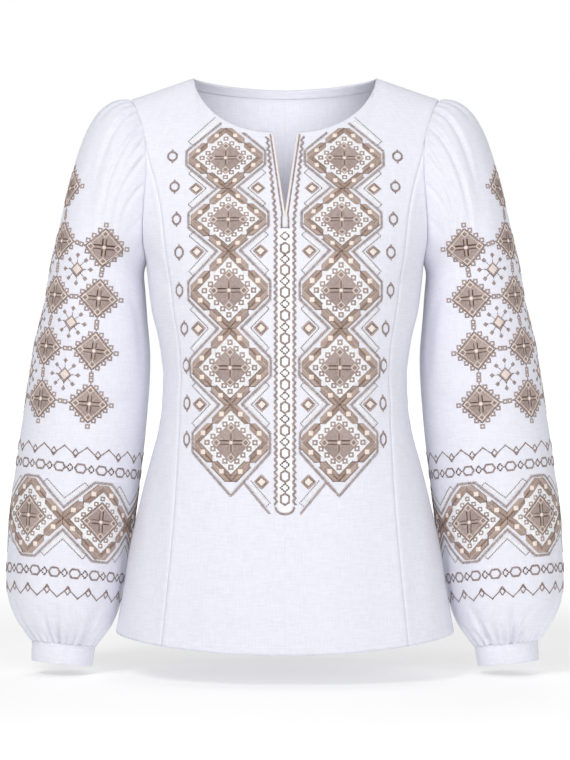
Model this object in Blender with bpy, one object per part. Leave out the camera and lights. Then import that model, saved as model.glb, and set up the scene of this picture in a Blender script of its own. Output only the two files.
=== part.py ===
"""Women's vyshyvanka blouse, hollow and filled out as it is worn.

White linen: a front panel with a neck slit, two side fronts that meet it in princess seams, a one-piece
back, two bishop sleeves gathered at the cap and at the cuff, buttoned cuffs and a narrow neck binding.

The tables are in millimetres. The origin is the middle of the neck hole, level with the points where the
shoulder seams meet the neckline, +Z is up and the front faces -Y. Every cloth piece is a surface through
sections, made into a wall by moving its points inwards.
"""

import math

import bmesh
import bpy
import numpy as np

MM = 0.001

# Cloth and seams.
CLOTH = 1.2
CUFF_CLOTH = 2.0
BINDING_CLOTH = 1.0
SEAM_GAP = 0.5

# Neck and shoulders.
NECK_HALF_WIDTH = 103.7
NECK_FRONT_DROP = 68.0
NECK_BACK_DROP = 6.4
SHOULDER_HALF_WIDTH = 175.5
SHOULDER_FALL = 0.35  # drop for each unit of width, along the shoulder seam
SHOULDER_ROUND_FROM = -120.0  # the chest and back start to round over to the shoulder seam here

# Slit at the centre front.
SLIT_HALF_WIDTH = 13.7
SLIT_END = -163.0

# Armhole: from the shoulder's tip to the underarm.
UNDERARM = -212.0
PRINCESS_FROM_ROW = 4  # the front panel's row that ends where the princess seam starts
SIDE_FRONT_TIP_DROP = 5.0

# Hem.
HEM_FRONT = -643.5
HEM_SIDE = -629.5
HEM_BACK = -637.0

SECTION_POWER = 2.3  # a section of the body is between an ellipse and a box

# The body's sections: half its width, and its depth in front of and behind the side seams. Above the
# underarm half_width is where the section would close if the arms were not there.
BODY = [
    dict(z=40, half_width=255, front=30, back=66),
    dict(z=0, half_width=245, front=38, back=84),
    dict(z=-25, half_width=234, front=46, back=90),
    dict(z=-68, half_width=212, front=62, back=97),
    dict(z=-108, half_width=188, front=80, back=102),
    dict(z=-142, half_width=176, front=94, back=104),
    dict(z=-174, half_width=169, front=105, back=103),
    dict(z=-200, half_width=161, front=112, back=100),
    dict(z=-212, half_width=157.5, front=114, back=98),
    dict(z=-240, half_width=153.5, front=117, back=93),
    dict(z=-268, half_width=149.5, front=116, back=88),
    dict(z=-292, half_width=144.2, front=112, back=83),
    dict(z=-320, half_width=140.0, front=107, back=79),
    dict(z=-356, half_width=138.3, front=103, back=77),
    dict(z=-390, half_width=141.8, front=102, back=79),
    dict(z=-435, half_width=153.5, front=104, back=86),
    dict(z=-481, half_width=164.3, front=107, back=94),
    dict(z=-527, half_width=174.8, front=111, back=101),
    dict(z=-577, half_width=183.0, front=115, back=107),
    dict(z=-640, half_width=193.0, front=120, back=113),
]

# The armhole seam and the princess seam: distance from the middle of the body.
ARMHOLE = [
    dict(z=-25.1, front=175.5, back=175.5),
    dict(z=-32, front=170.8, back=172.5),
    dict(z=-43, front=166.0, back=169.5),
    dict(z=-58, front=161.0, back=166.5),
    dict(z=-76, front=157.0, back=164.5),
    dict(z=-100, front=155.3, back=163.5),
    dict(z=-142, front=158.0, back=163.0),
    dict(z=-174, front=160.0, back=162.5),
    dict(z=-190, front=159.8, back=161.5),
    dict(z=-200, front=158.7, back=159.5),
    dict(z=-212, front=157.5, back=157.5),
]
PRINCESS = [
    dict(z=-84, x=155.8),
    dict(z=-108, x=149.0),
    dict(z=-146, x=139.6),
    dict(z=-203, x=132.5),
    dict(z=-241, x=127.6),
    dict(z=-279, x=121.7),
    dict(z=-306, x=117.6),
    dict(z=-340, x=116.3),
    dict(z=-395, x=117.6),
    dict(z=-487, x=122.5),
    dict(z=-640, x=136.5),
]

# A sleeve's sections below the cap: the middle of each, half its width from the front, half its depth, and
# how far it tips outwards and forwards, in degrees. x is the distance from the middle of the body.
SLEEVE = [
    dict(z=-225, x=213.5, y=6, half_width=55.5, half_depth=57, tip_out=15, tip_forward=0),
    dict(z=-262, x=216.0, y=9, half_width=59.0, half_depth=59, tip_out=9, tip_forward=0),
    dict(z=-310, x=220.5, y=13, half_width=66.5, half_depth=62, tip_out=6.5, tip_forward=0),
    dict(z=-375, x=227.5, y=16, half_width=70.0, half_depth=64, tip_out=6.2, tip_forward=0),
    dict(z=-440, x=236.0, y=17, half_width=71.5, half_depth=66, tip_out=6.5, tip_forward=2),
    dict(z=-500, x=243.5, y=14, half_width=71.5, half_depth=67, tip_out=6.0, tip_forward=4.5),
    dict(z=-547, x=248.6, y=10, half_width=68.8, half_depth=66, tip_out=5.6, tip_forward=5.5),
    dict(z=-580, x=251.6, y=6, half_width=66.5, half_depth=63, tip_out=5.6, tip_forward=5.5),
    dict(z=-603, x=252.8, y=4, half_width=62.0, half_depth=58, tip_out=5.6, tip_forward=5.5),
    dict(z=-621, x=253.0, y=2, half_width=54.8, half_depth=50, tip_out=5.6, tip_forward=5.5),
    dict(z=-633, x=252.6, y=1, half_width=46.5, half_depth=41, tip_out=5.6, tip_forward=5.5),
    dict(z=-640, x=252.2, y=0.5, half_width=40.0, half_depth=34.5, tip_out=5.6, tip_forward=5.5),
    dict(z=-644.5, x=252.0, y=0, half_width=35.6, half_depth=29.8, tip_out=5.6, tip_forward=5.5),
]

# How the cap leaves the armhole and comes down to the first section, as the handles of a curve: out from
# the body, forward and up. turn is 0 at the top of the sleeve, 90 at its front and 180 at the underarm.
CAP = [
    dict(turn=0, out=58, forward=0, up=12, lower_in=26, lower_forward=0, lower_up=99),
    dict(turn=45, out=44, forward=16, up=6, lower_in=12, lower_forward=-1, lower_up=84),
    dict(turn=90, out=26, forward=16, up=-4, lower_in=-2, lower_forward=1, lower_up=56),
    dict(turn=135, out=13, forward=8, up=-9, lower_in=-1, lower_forward=0, lower_up=26),
    dict(turn=180, out=4, forward=0, up=-9, lower_in=-1, lower_forward=0, lower_up=11),
    dict(turn=225, out=13, forward=-8, up=-9, lower_in=-1, lower_forward=0, lower_up=26),
    dict(turn=270, out=26, forward=-12, up=-4, lower_in=-2, lower_forward=-1, lower_up=56),
    dict(turn=315, out=44, forward=-12, up=6, lower_in=12, lower_forward=1, lower_up=84),
    dict(turn=360, out=58, forward=0, up=12, lower_in=26, lower_forward=0, lower_up=99),
]
CAP_STEPS = (0.0, 0.09, 0.2, 0.34, 0.52, 0.76)
SLEEVE_LEVELS = (-225, -265, -318, -382, -448, -510, -556, -588, -608, -622, -632, -639.5, -644.5)
SLEEVE_AROUND = 54
CUFF_GATHERS = 18
CUFF_GATHER_DEPTH = 2.0
CAP_GATHERS = 10
CAP_GATHER_DEPTH = 2.6
CAP_GATHER_REACH = 122.0  # degrees of the armhole each side of the shoulder's tip that are gathered

# Cuff: a buttoned band.
CUFF_HALF_WIDTH = 36.2
CUFF_HALF_DEPTH = 30.4
CUFF_HEIGHT = 23.0
CUFF_TAPER = 0.96
CUFF_OPENS_AT = 262.0
CUFF_OVERLAP = 34.0
CUFF_AROUND = 40
BUTTON_RADIUS = 5.0
BUTTON_THICKNESS = 2.2
BINDING_WIDTH = 9.0
BINDING_GAP = 0.35

# Points on the panels.
FRONT_UPPER_ROWS = 8
BACK_UPPER_ROWS = 9
LOWER_ROWS = 10
FRONT_NECK_COLUMNS = 8
BACK_NECK_COLUMNS = 6

WHITE_LINEN = ("white_linen", (0.93, 0.93, 0.94), 0.85)
SHELL_WHITE = ("shell_white", (0.90, 0.88, 0.84), 0.35)


# ---------------------------------------------------------------- tables


def column(rows, key, name):
    """The table's column called name as a smooth function of its column called key."""
    rows = sorted(rows, key=lambda row: row[key])
    at = np.array([row[key] for row in rows], float)
    value = np.array([row[name] for row in rows], float)
    rise = np.diff(value) / np.diff(at)
    slope = np.concatenate([rise[:1], (rise[:-1] + rise[1:]) / 2, rise[-1:]])
    turns = np.concatenate([[False], rise[:-1] * rise[1:] <= 0, [False]])
    slope[turns] = 0.0

    def read(x):
        x = min(max(x, at[0]), at[-1])
        i = min(int(np.searchsorted(at, x, side="right")) - 1, len(at) - 2)
        step = at[i + 1] - at[i]
        t = (x - at[i]) / step
        return float(
            value[i] * (1 + 2 * t) * (1 - t) ** 2
            + slope[i] * step * t * (1 - t) ** 2
            + value[i + 1] * t * t * (3 - 2 * t)
            - slope[i + 1] * step * t * t * (1 - t)
        )

    return read


half_width = column(BODY, "z", "half_width")
body_depth = {"front": column(BODY, "z", "front"), "back": column(BODY, "z", "back")}
armhole_x = {"front": column(ARMHOLE, "z", "front"), "back": column(ARMHOLE, "z", "back")}
princess_x = column(PRINCESS, "z", "x")


# ---------------------------------------------------------------- the body's surface


def shoulder_line(x):
    """Height of the shoulder seam, and of its line carried on over the neck hole."""
    return (NECK_HALF_WIDTH - abs(x)) * SHOULDER_FALL


def depth(x, z, side):
    """How far the cloth is in front of, or behind, the seams at this place."""
    across = 1 - min(1.0, abs(x) / half_width(z)) ** SECTION_POWER
    over = 0.0
    if z > SHOULDER_ROUND_FROM:
        over = min(1.0, (z - SHOULDER_ROUND_FROM) / (shoulder_line(x) - SHOULDER_ROUND_FROM))
    return body_depth[side](z) * across ** (1 / SECTION_POWER) * math.sqrt(1 - over * over)


def on_body(x, z, side):
    facing = -1 if side == "front" else 1
    return np.array([x, facing * (depth(x, z, side) + SEAM_GAP / 2), z])


def neckline(x, side):
    share = min(1.0, abs(x) / NECK_HALF_WIDTH)
    if side == "front":
        return -NECK_FRONT_DROP * (1 - share**2.5) ** 0.6
    return -NECK_BACK_DROP * (1 - share**2)


def top_edge(x, side):
    """Height of a panel's top edge: the neckline, then the shoulder seam."""
    return neckline(x, side) if abs(x) < NECK_HALF_WIDTH else shoulder_line(x)


def hem(x, side):
    share = min(1.0, abs(x) / half_width(HEM_SIDE)) ** 2
    middle = HEM_FRONT if side == "front" else HEM_BACK
    return middle + (HEM_SIDE - middle) * share


def slit_x(z):
    """Half the width of the slit at this height."""
    share = (z - SLIT_END) / (-NECK_FRONT_DROP - SLIT_END)
    return SLIT_HALF_WIDTH * min(1.0, max(0.0, share))


def body_row(side, height, inner, middle, outer, counts):
    """Points along one row of a panel, evenly spaced from inner to middle and from middle to outer.

    height gives z for x. inner, middle and outer are distances from the middle of the body.
    """
    points = []
    for start, end, count in ((inner, middle, counts[0]), (middle, outer, counts[1])):
        reach = half_width(height(end))
        turn = np.linspace(math.asin(min(1, start / reach)), math.asin(min(1, end / reach)), 60)
        xs = np.clip(reach * np.sin(turn), start, end)
        dense = np.array([on_body(x, height(x), side) for x in xs])
        along = np.concatenate([[0], np.cumsum(np.linalg.norm(np.diff(dense, axis=0), axis=1))])
        at = np.linspace(0, along[-1], count + 1)
        even = np.stack([np.interp(at, along, dense[:, k]) for k in range(3)], axis=1)
        points.extend(even if not points else even[1:])
    return np.array(points)


def meeting(edge, height):
    """The x at which a row reaches an edge that is given as x for each z."""
    x = edge(height(NECK_HALF_WIDTH))
    for _ in range(40):
        x = edge(height(x))
    return x


def upper_rows(side, count, level):
    """Row heights from the neckline and shoulder seam down to level, evenly spaced along the cloth.

    The first space is the width of the neck binding.
    """

    def height_of(row):
        def height(x):
            top = top_edge(x, side)
            heights = top + (level - top) * np.linspace(0, 1, 25) ** 2
            line = np.array([on_body(x, z, side) for z in heights])
            along = np.concatenate([[0], np.cumsum(np.linalg.norm(np.diff(line, axis=0), axis=1))])
            at = BINDING_WIDTH + (along[-1] - BINDING_WIDTH) * (row - 1) / (count - 1) if row else 0.0
            return float(np.interp(at, along, heights))

        return height

    return [height_of(row) for row in range(count)]


def lower_rows(side, count, level):
    """Row heights from level down to the hem."""

    def height_at(share):
        return lambda x: level + (hem(x, side) - level) * share

    return [height_at(i / count) for i in range(count + 1)]


# ---------------------------------------------------------------- walls


def grid_faces(rows, columns, closed=False):
    wide = columns if closed else columns - 1
    return [
        (
            r * columns + c,
            r * columns + (c + 1) % columns,
            (r + 1) * columns + (c + 1) % columns,
            (r + 1) * columns + c,
        )
        for r in range(rows - 1)
        for c in range(wide)
    ]


def joined(points, faces, within=0.01):
    """Points at one place made one, as down the centre front below the slit."""
    keys = np.round(points / within).astype(np.int64)
    _, first, index = np.unique(keys, axis=0, return_index=True, return_inverse=True)
    index = index.reshape(-1)
    kept = []
    for face in faces:
        corners = list(dict.fromkeys(int(index[i]) for i in face))
        if len(corners) > 2:
            kept.append(tuple(corners))
    return points[first], kept


def triangles(points, faces):
    """Each four-sided face split along its shorter diagonal, so that a wall folds alike on both sides."""
    split = []
    for face in faces:
        if len(face) == 3:
            split.append(face)
            continue
        a, b, c, d = face
        if np.linalg.norm(points[a] - points[c]) <= np.linalg.norm(points[b] - points[d]) + 0.001:
            split += [(a, b, c), (a, c, d)]
        else:
            split += [(a, b, d), (b, c, d)]
    return split


def vertex_normals(points, faces):
    normals = np.zeros_like(points)
    for a, b, c in triangles(points, faces):
        across = np.cross(points[b] - points[a], points[c] - points[a])
        across /= max(np.linalg.norm(across), 1e-9)
        for i, before, after in ((a, c, b), (b, a, c), (c, b, a)):
            one, other = points[before] - points[i], points[after] - points[i]
            cosine = one @ other / (np.linalg.norm(one) * np.linalg.norm(other))
            normals[i] += across * math.acos(min(1.0, max(-1.0, cosine)))
    return normals / np.linalg.norm(normals, axis=1)[:, None]


def wall(name, points, faces, thickness, away_from, finish, level_normals=False):
    """A closed wall: the points are its outside, and away_from gives a point inside the hollow for each.

    level_normals turns the wall at the shoulder and side seams square to the seam, so that the front and
    the back stay apart there. Gives the outside's points and normals.
    """
    points, faces = joined(points, faces)
    faces = triangles(points, faces)
    normals = vertex_normals(points, faces)
    outwards = np.sum(normals * (points - np.array([away_from(p) for p in points])))
    if outwards < 0:
        normals, faces = -normals, [face[::-1] for face in faces]
    if level_normals:
        at_seam = np.abs(points[:, 1]) < SEAM_GAP / 2 + 0.05
        normals[at_seam, 1] = 0
        normals /= np.linalg.norm(normals, axis=1)[:, None]
    count = len(points)
    both = np.concatenate([points, points - normals * thickness])
    edges = {(face[i], face[(i + 1) % len(face)]) for face in faces for i in range(len(face))}
    rim = [(b, a, a + count, b + count) for a, b in sorted(edges) if (b, a) not in edges]
    inside = [tuple(i + count for i in face[::-1]) for face in faces]
    solid(name, both, list(faces) + inside + rim, finish)
    return points, normals


def solid(name, points, faces, finish):
    mesh = bpy.data.meshes.new(name)
    mesh.from_pydata((points * MM).tolist(), [], faces)
    made = bmesh.new()
    made.from_mesh(mesh)
    bmesh.ops.recalc_face_normals(made, faces=made.faces)
    made.to_mesh(mesh)
    made.free()
    mesh.shade_smooth()
    mesh.set_sharp_from_angle(angle=math.radians(50))
    mesh.materials.append(material(*finish))
    thing = bpy.data.objects.new(name, mesh)
    bpy.context.scene.collection.objects.link(thing)
    return thing


def material(name, colour, roughness):
    made = bpy.data.materials.get(name) or bpy.data.materials.new(name)
    made.use_nodes = True
    shader = made.node_tree.nodes["Principled BSDF"]
    shader.inputs["Base Color"].default_value = (*colour, 1)
    shader.inputs["Roughness"].default_value = roughness
    shader.inputs["Metallic"].default_value = 0.0
    return made


def body_axis(point):
    return np.array([0.0, 0.0, min(point[2] - 60, -150)])


def mirrored(points):
    return points * np.array([-1, 1, 1])


# ---------------------------------------------------------------- the body's panels


FRONT_HEIGHTS = (
    upper_rows("front", FRONT_UPPER_ROWS, SLIT_END)
    + [lambda x: SLIT_END, lambda x: (SLIT_END + UNDERARM) / 2]
    + lower_rows("front", LOWER_ROWS, UNDERARM)
)
BACK_HEIGHTS = upper_rows("back", BACK_UPPER_ROWS, UNDERARM) + lower_rows("back", LOWER_ROWS, UNDERARM)


def half_and_mirror(rows):
    """A half panel's rows and their mirror image as one set of points and faces."""
    columns = len(rows[0])
    half = np.concatenate(rows)
    faces = grid_faces(len(rows), columns)
    faces += [tuple(i + len(half) for i in face[::-1]) for face in faces]
    return np.concatenate([half, mirrored(half)]), faces


def front_rows():
    """Half the front, from the centre and the slit to the armhole and the princess seam."""
    rows = []
    for row, height in enumerate(FRONT_HEIGHTS):
        outer = armhole_x["front"] if row <= PRINCESS_FROM_ROW else princess_x
        end = meeting(outer, height) - SEAM_GAP / 2
        inner = meeting(slit_x, height) if row < FRONT_UPPER_ROWS else 0.0
        share = min(1.0, row / FRONT_UPPER_ROWS)
        middle = NECK_HALF_WIDTH * (1 - share) + (inner + 0.66 * (end - inner)) * share
        rows.append(body_row("front", height, inner, middle, end, (FRONT_NECK_COLUMNS, 4)))
    return rows


def back_rows():
    def outer(z):
        return armhole_x["back"](z) - SEAM_GAP / 2 if z > UNDERARM else half_width(z)

    rows = []
    for row, height in enumerate(BACK_HEIGHTS):
        end = half_width(UNDERARM) if row == BACK_UPPER_ROWS else meeting(outer, height)
        share = min(1.0, row / BACK_UPPER_ROWS)
        middle = NECK_HALF_WIDTH * (1 - share) + 0.62 * end * share
        rows.append(body_row("back", height, 0.0, middle, end, (BACK_NECK_COLUMNS, 4)))
    return rows


def side_front(name, sign):
    """From the princess seam to the side seam, with the lower front of the armhole as its top edge.

    It has the front panel's rows, so that the two meet point for point along the princess seam.
    """


    def outer(z):
        return armhole_x["front"](z) - SEAM_GAP / 2 if z > UNDERARM else half_width(z)

    start = FRONT_HEIGHTS[PRINCESS_FROM_ROW]
    below = FRONT_HEIGHTS[PRINCESS_FROM_ROW + 1]
    tip_x = meeting(armhole_x["front"], start)
    drop = SIDE_FRONT_TIP_DROP / (start(tip_x) - below(tip_x))
    tip_z = start(tip_x) - SIDE_FRONT_TIP_DROP
    tip_x = (armhole_x["front"](tip_z) + tip_x + (meeting(princess_x, below) - tip_x) * drop) / 2
    rows = [np.array([on_body(tip_x, tip_z, "front")] * 5)]
    for height in FRONT_HEIGHTS[PRINCESS_FROM_ROW + 1 :]:
        inner = meeting(princess_x, height) + SEAM_GAP / 2
        end = meeting(outer, height)
        rows.append(body_row("front", height, inner, (inner + end) / 2, end, (2, 2)))
    points = np.concatenate(rows) * np.array([sign, 1, 1])
    wall(name, points, grid_faces(len(rows), 5), CLOTH, body_axis, WHITE_LINEN, level_normals=True)


def body_panels():
    """The front, the back and the neck binding, a strip that follows the panels' inside along the neck."""
    strips = []
    for name, rows, neck_columns in (
        ("front_panel", front_rows(), FRONT_NECK_COLUMNS),
        ("back_panel", back_rows(), BACK_NECK_COLUMNS),
    ):
        points, faces = half_and_mirror(rows)
        outside, normals = wall(name, points, faces, CLOTH, body_axis, WHITE_LINEN, level_normals=True)
        strip = []
        for column in range(neck_columns + 1):
            across = []
            for point in (rows[0][column], rows[1][column]):
                nearest = int(np.argmin(np.linalg.norm(outside - point, axis=1)))
                across.append(point - normals[nearest] * (CLOTH + BINDING_GAP))
            strip.append(across)
        strips.append(strip)
    half = np.array(strips[0][:-1] + strips[1][::-1])
    ring = np.concatenate([half, mirrored(half[-2::-1])])
    points, faces = ring.reshape(-1, 3), grid_faces(len(ring), 2)
    wall("neck_binding", points, faces, BINDING_CLOTH, body_axis, WHITE_LINEN)


# ---------------------------------------------------------------- sleeves and cuffs

sleeve_read = {key: column(SLEEVE, "z", key) for key in SLEEVE[0] if key != "z"}
cap_read = {key: column(CAP, "turn", key) for key in CAP[0] if key != "turn"}


def sleeve_frame(z):
    """The middle of a sleeve's section and its outward and forward directions."""
    out_tip, forward_tip = (math.radians(sleeve_read[key](z)) for key in ("tip_out", "tip_forward"))
    middle = np.array([sleeve_read["x"](z), sleeve_read["y"](z), z])
    outward = np.array([math.cos(out_tip), 0, math.sin(out_tip)])
    forward = np.array([0, -math.cos(forward_tip), math.sin(forward_tip)])
    return middle, outward, forward


def cuff_fall():
    """The direction in which a cuff comes down from the sleeve's end."""
    _, outward, forward = sleeve_frame(SLEEVE_LEVELS[-1])
    fall = np.cross(forward, outward)
    return fall / np.linalg.norm(fall) * (-1 if fall[2] > 0 else 1)


CUFF_FALL = cuff_fall()


def sleeve_section(z, turn):
    """A point of the sleeve's section. turn is 0 outwards, 90 in front and 180 at the body, in degrees."""
    middle, outward, forward = sleeve_frame(z)
    angle = math.radians(turn)
    return (
        middle
        + outward * math.cos(angle) * sleeve_read["half_width"](z)
        + forward * math.sin(angle) * sleeve_read["half_depth"](z)
    )


def armhole(turn):
    """A point of the armhole seam. turn is 0 at the shoulder's tip, 90 in front and 180 at the underarm."""
    top, bottom = ARMHOLE[0]["z"], UNDERARM
    z = (top + bottom) / 2 + (top - bottom) / 2 * math.cos(math.radians(turn))
    side = "front" if turn <= 180 else "back"
    x = armhole_x[side](z)
    y = depth(x, z, side) if 0.5 < turn % 180 < 179.5 else 0.0
    return np.array([x, -y if side == "front" else y, z])


def cap_point(turn, share):
    """A point of the sleeve's cap, share of the way from the armhole down to the first section."""
    start, end = armhole(turn), sleeve_section(SLEEVE_LEVELS[0], turn)
    read = {key: cap_read[key](turn) for key in cap_read}
    leave = np.array([read["out"], -read["forward"], read["up"]])
    start = start + leave / np.linalg.norm(leave) * 1.2
    upper = start + leave
    lower = end + np.array([-read["lower_in"], -read["lower_forward"], read["lower_up"]])
    rest = 1 - share
    return rest**3 * start + 3 * rest**2 * share * upper + 3 * rest * share**2 * lower + share**3 * end


def cuff_gathers(z, turn):
    """How far the gathers above the cuff lift the cloth: deepest just above the band, gone 50 mm up."""
    above = z - SLEEVE_LEVELS[-1]
    fade = max(0.0, 1 - above / 52) ** 1.5 * (0.8 + 0.9 * min(1.0, above / 10))
    uneven = 1 + 0.25 * math.sin(math.radians(3 * turn + 40))
    return CUFF_GATHER_DEPTH * fade * uneven * math.cos(math.radians(CUFF_GATHERS * turn))


def cap_gathers(share, turn):
    """The gathers that run down from the armhole seam, gone before the underarm."""
    from_top = min(turn, 360 - turn)
    if from_top > CAP_GATHER_REACH:
        return 0.0
    edge = min(1.0, (CAP_GATHER_REACH - from_top) / 30)
    fade = max(0.0, 1 - share / 0.7) * (0.35 + min(1.0, share / 0.12) * 0.65)
    wave = math.cos(math.radians(turn) * CAP_GATHERS * 180 / CAP_GATHER_REACH)
    return CAP_GATHER_DEPTH * fade * edge * (1 + 0.2 * math.sin(math.radians(2 * turn))) * wave


def sleeve(name, sign):
    turns = [i * 360 / SLEEVE_AROUND for i in range(SLEEVE_AROUND)]
    rings = [([cap_point(t, share) for t in turns], [cap_gathers(share, t) for t in turns]) for share in CAP_STEPS]
    for z in SLEEVE_LEVELS:
        rings.append(([sleeve_section(z, t) for t in turns], [cuff_gathers(z, t) for t in turns]))
    points = np.array([ring[0] for ring in rings]).reshape(-1, 3)
    lift = np.array([ring[1] for ring in rings]).reshape(-1)
    faces = grid_faces(len(rings), SLEEVE_AROUND, closed=True)
    normals = vertex_normals(points, faces)
    if np.sum(normals * (points - np.array([sleeve_middle(p) for p in points]))) < 0:
        normals = -normals
    end = normals[-SLEEVE_AROUND:]
    normals[-SLEEVE_AROUND:] = end - np.outer(end @ CUFF_FALL, CUFF_FALL)
    points = (points + normals * lift[:, None]) * np.array([sign, 1, 1])
    wall(name, points, faces, CLOTH, sleeve_middle, WHITE_LINEN)


def sleeve_middle(point):
    """A point on the sleeve's middle line, level with this one."""
    z = min(point[2], SLEEVE_LEVELS[0])
    side = 1 if point[0] > 0 else -1
    return np.array([side * sleeve_read["x"](z), sleeve_read["y"](z), min(point[2], -110)])


def cuff_point(turn, down, out):
    """A point of the cuff, down from its top edge and out from its band's outside."""
    middle, outward, forward = sleeve_frame(SLEEVE_LEVELS[-1])
    scale = 1 - (1 - CUFF_TAPER) * down / CUFF_HEIGHT
    angle = math.radians(turn)
    flat = outward * math.cos(angle) * (CUFF_HALF_WIDTH * scale + out)
    flat = flat + forward * math.sin(angle) * (CUFF_HALF_DEPTH * scale + out)
    return middle + CUFF_FALL * (SEAM_GAP + down) + flat


def cuff(name, sign):
    """The band: its outer end laps over its inner end at the back, where the button is."""
    lap = CUFF_CLOTH + 0.4
    turns = np.linspace(CUFF_OPENS_AT, CUFF_OPENS_AT + 360 + CUFF_OVERLAP, CUFF_AROUND + 5)
    rings = []
    for down in (0.0, CUFF_HEIGHT / 2, CUFF_HEIGHT):
        ring = []
        for turn in turns:
            past = turn - (CUFF_OPENS_AT + 360 - 26)
            rise = min(1.0, max(0.0, past / 20))
            ring.append(cuff_point(turn, down, lap * rise * rise * (3 - 2 * rise)))
        rings.append(ring)
    points = np.array(rings).reshape(-1, 3) * np.array([sign, 1, 1])
    middle = cuff_point(0, CUFF_HEIGHT / 2, -CUFF_HALF_WIDTH) * np.array([sign, 1, 1])
    wall(name, points, grid_faces(3, len(turns)), CUFF_CLOTH, lambda p: middle, WHITE_LINEN)


def cuff_button(name, sign):
    """A round button with a raised rim on the cuff's overlap, its back just clear of the cloth."""
    turn = CUFF_OPENS_AT + CUFF_OVERLAP / 2
    down = CUFF_HEIGHT / 2
    lap = CUFF_CLOTH + 0.4
    centre = cuff_point(turn, down, lap)
    along = cuff_point(turn + 4, down, lap) - cuff_point(turn - 4, down, lap)
    up = cuff_point(turn, down - 3, lap) - cuff_point(turn, down + 3, lap)
    along, up = along / np.linalg.norm(along), up / np.linalg.norm(up)
    out = np.cross(along, up)
    out = out * (1 if np.dot(out, centre - cuff_point(turn, down, -20)) > 0 else -1)
    profile = (
        (BUTTON_RADIUS * 0.8, 0.0),
        (BUTTON_RADIUS, BUTTON_THICKNESS * 0.45),
        (BUTTON_RADIUS * 0.9, BUTTON_THICKNESS),
        (BUTTON_RADIUS * 0.66, BUTTON_THICKNESS * 0.75),
    )
    sides = 16
    points, faces = [], []
    for radius, height in profile:
        for i in range(sides):
            angle = 2 * math.pi * i / sides
            flat = along * math.cos(angle) * radius + up * math.sin(angle) * radius
            points.append(centre + flat + out * (0.75 + height))
    faces += grid_faces(len(profile), sides, closed=True)
    faces.append(tuple(range(sides)))
    faces.append(tuple(range((len(profile) - 1) * sides, len(profile) * sides)))
    solid(name, np.array(points) * np.array([sign, 1, 1]), faces, SHELL_WHITE)


def clear_scene():
    for thing in list(bpy.data.objects):
        bpy.data.objects.remove(thing)


clear_scene()
body_panels()
for side_name, side_sign in (("left", 1), ("right", -1)):
    side_front(f"side_front_{side_name}", side_sign)
    sleeve(f"sleeve_{side_name}", side_sign)
    cuff(f"cuff_{side_name}", side_sign)
    cuff_button(f"cuff_button_{side_name}", side_sign)
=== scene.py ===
"""The finish of a women's vyshyvanka blouse of white linen with taupe, brown and cream embroidery.

Lengths are in millimetres until a mesh is made. The front of the blouse faces -Y, left is the wearer's.
"""

import math

import bmesh
import bpy
import numpy as np
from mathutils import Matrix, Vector


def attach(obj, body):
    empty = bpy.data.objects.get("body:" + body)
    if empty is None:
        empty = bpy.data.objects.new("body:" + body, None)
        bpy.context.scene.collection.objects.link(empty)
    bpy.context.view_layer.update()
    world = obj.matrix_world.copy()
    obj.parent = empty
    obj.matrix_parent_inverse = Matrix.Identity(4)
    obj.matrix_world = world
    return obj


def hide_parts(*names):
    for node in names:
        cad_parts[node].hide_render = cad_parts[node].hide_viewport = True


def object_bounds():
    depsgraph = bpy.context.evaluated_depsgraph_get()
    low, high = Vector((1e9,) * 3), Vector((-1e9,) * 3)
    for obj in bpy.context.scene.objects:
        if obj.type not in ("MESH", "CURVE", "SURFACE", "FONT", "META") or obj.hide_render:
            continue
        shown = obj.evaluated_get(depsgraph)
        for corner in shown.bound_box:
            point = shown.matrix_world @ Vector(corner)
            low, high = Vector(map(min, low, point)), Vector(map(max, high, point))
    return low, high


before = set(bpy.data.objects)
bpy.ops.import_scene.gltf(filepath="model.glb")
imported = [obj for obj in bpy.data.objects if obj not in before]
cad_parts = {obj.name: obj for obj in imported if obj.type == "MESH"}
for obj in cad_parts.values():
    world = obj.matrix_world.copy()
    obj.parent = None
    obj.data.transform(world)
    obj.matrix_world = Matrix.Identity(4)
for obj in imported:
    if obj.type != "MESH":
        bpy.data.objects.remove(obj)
cad_low, cad_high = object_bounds()
MM = 0.001

# ------------------------------------------------------------------ the room
# A pale floor that glows, to the camera less near the blouse as a painted shadow, and an even pale sky. A
# large soft lamp stands above and in front, a weaker one on the other side, a third behind and a small one
# inside the blouse. The camera is level with its middle.

def table(names, *rows):
    """Rows of values as dictionaries with these names."""
    return [dict(zip(names.split(), row)) for row in rows]


FLOOR_BELOW_CUFFS = 0.006
FLOOR_SIZE = 60.0
FLOOR_COLOUR = (0.50, 0.50, 0.50)
# The floor's glow as the camera sees it, weakest near the blouse as a painted shadow and strongest far off:
# two ramps, each with its reach from and to in metres and its strength there.
FLOOR_GLOW_PAINTED_SHADOW = ((0.0, 0.15, 0.46, 0.54), (0.35, 2.5, 0.0, 0.45))
FLOOR_LIGHT = 0.62
# The painted shadow's reach is measured from a point under the back of the blouse, distances across
# counting less.
PAINTED_SHADOW_STRETCH = (0.4, 1, 0)
PAINTED_SHADOW_SHIFT = (0, -0.12, 0)
CAMERA_DISTANCE = 2.5
CAMERA_HEIGHT = -0.344
CAMERA_LENS = 103.9
SKY_STRENGTH = 0.35
BACKDROP_STRENGTH = 1.0
LAMPS = table(
    "name place target size watts spread",
    ("key", (-1.1, -1.8, 1.6), (0, 0, CAMERA_HEIGHT), (1.2, 1.2), 37, 180),
    ("fill", (1.3, -2.7, 0.1), (0, 0, CAMERA_HEIGHT), (2.0, 2.0), 30, 180),
    ("behind", (0.8, 2.4, 0.9), (0, 0, CAMERA_HEIGHT), (1.6, 1.6), 14, 180),
    ("inside", (0, -0.02, -0.125), (0, 0.08, 0), (0.16, 0.02), 0.036, 94),
)


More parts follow.
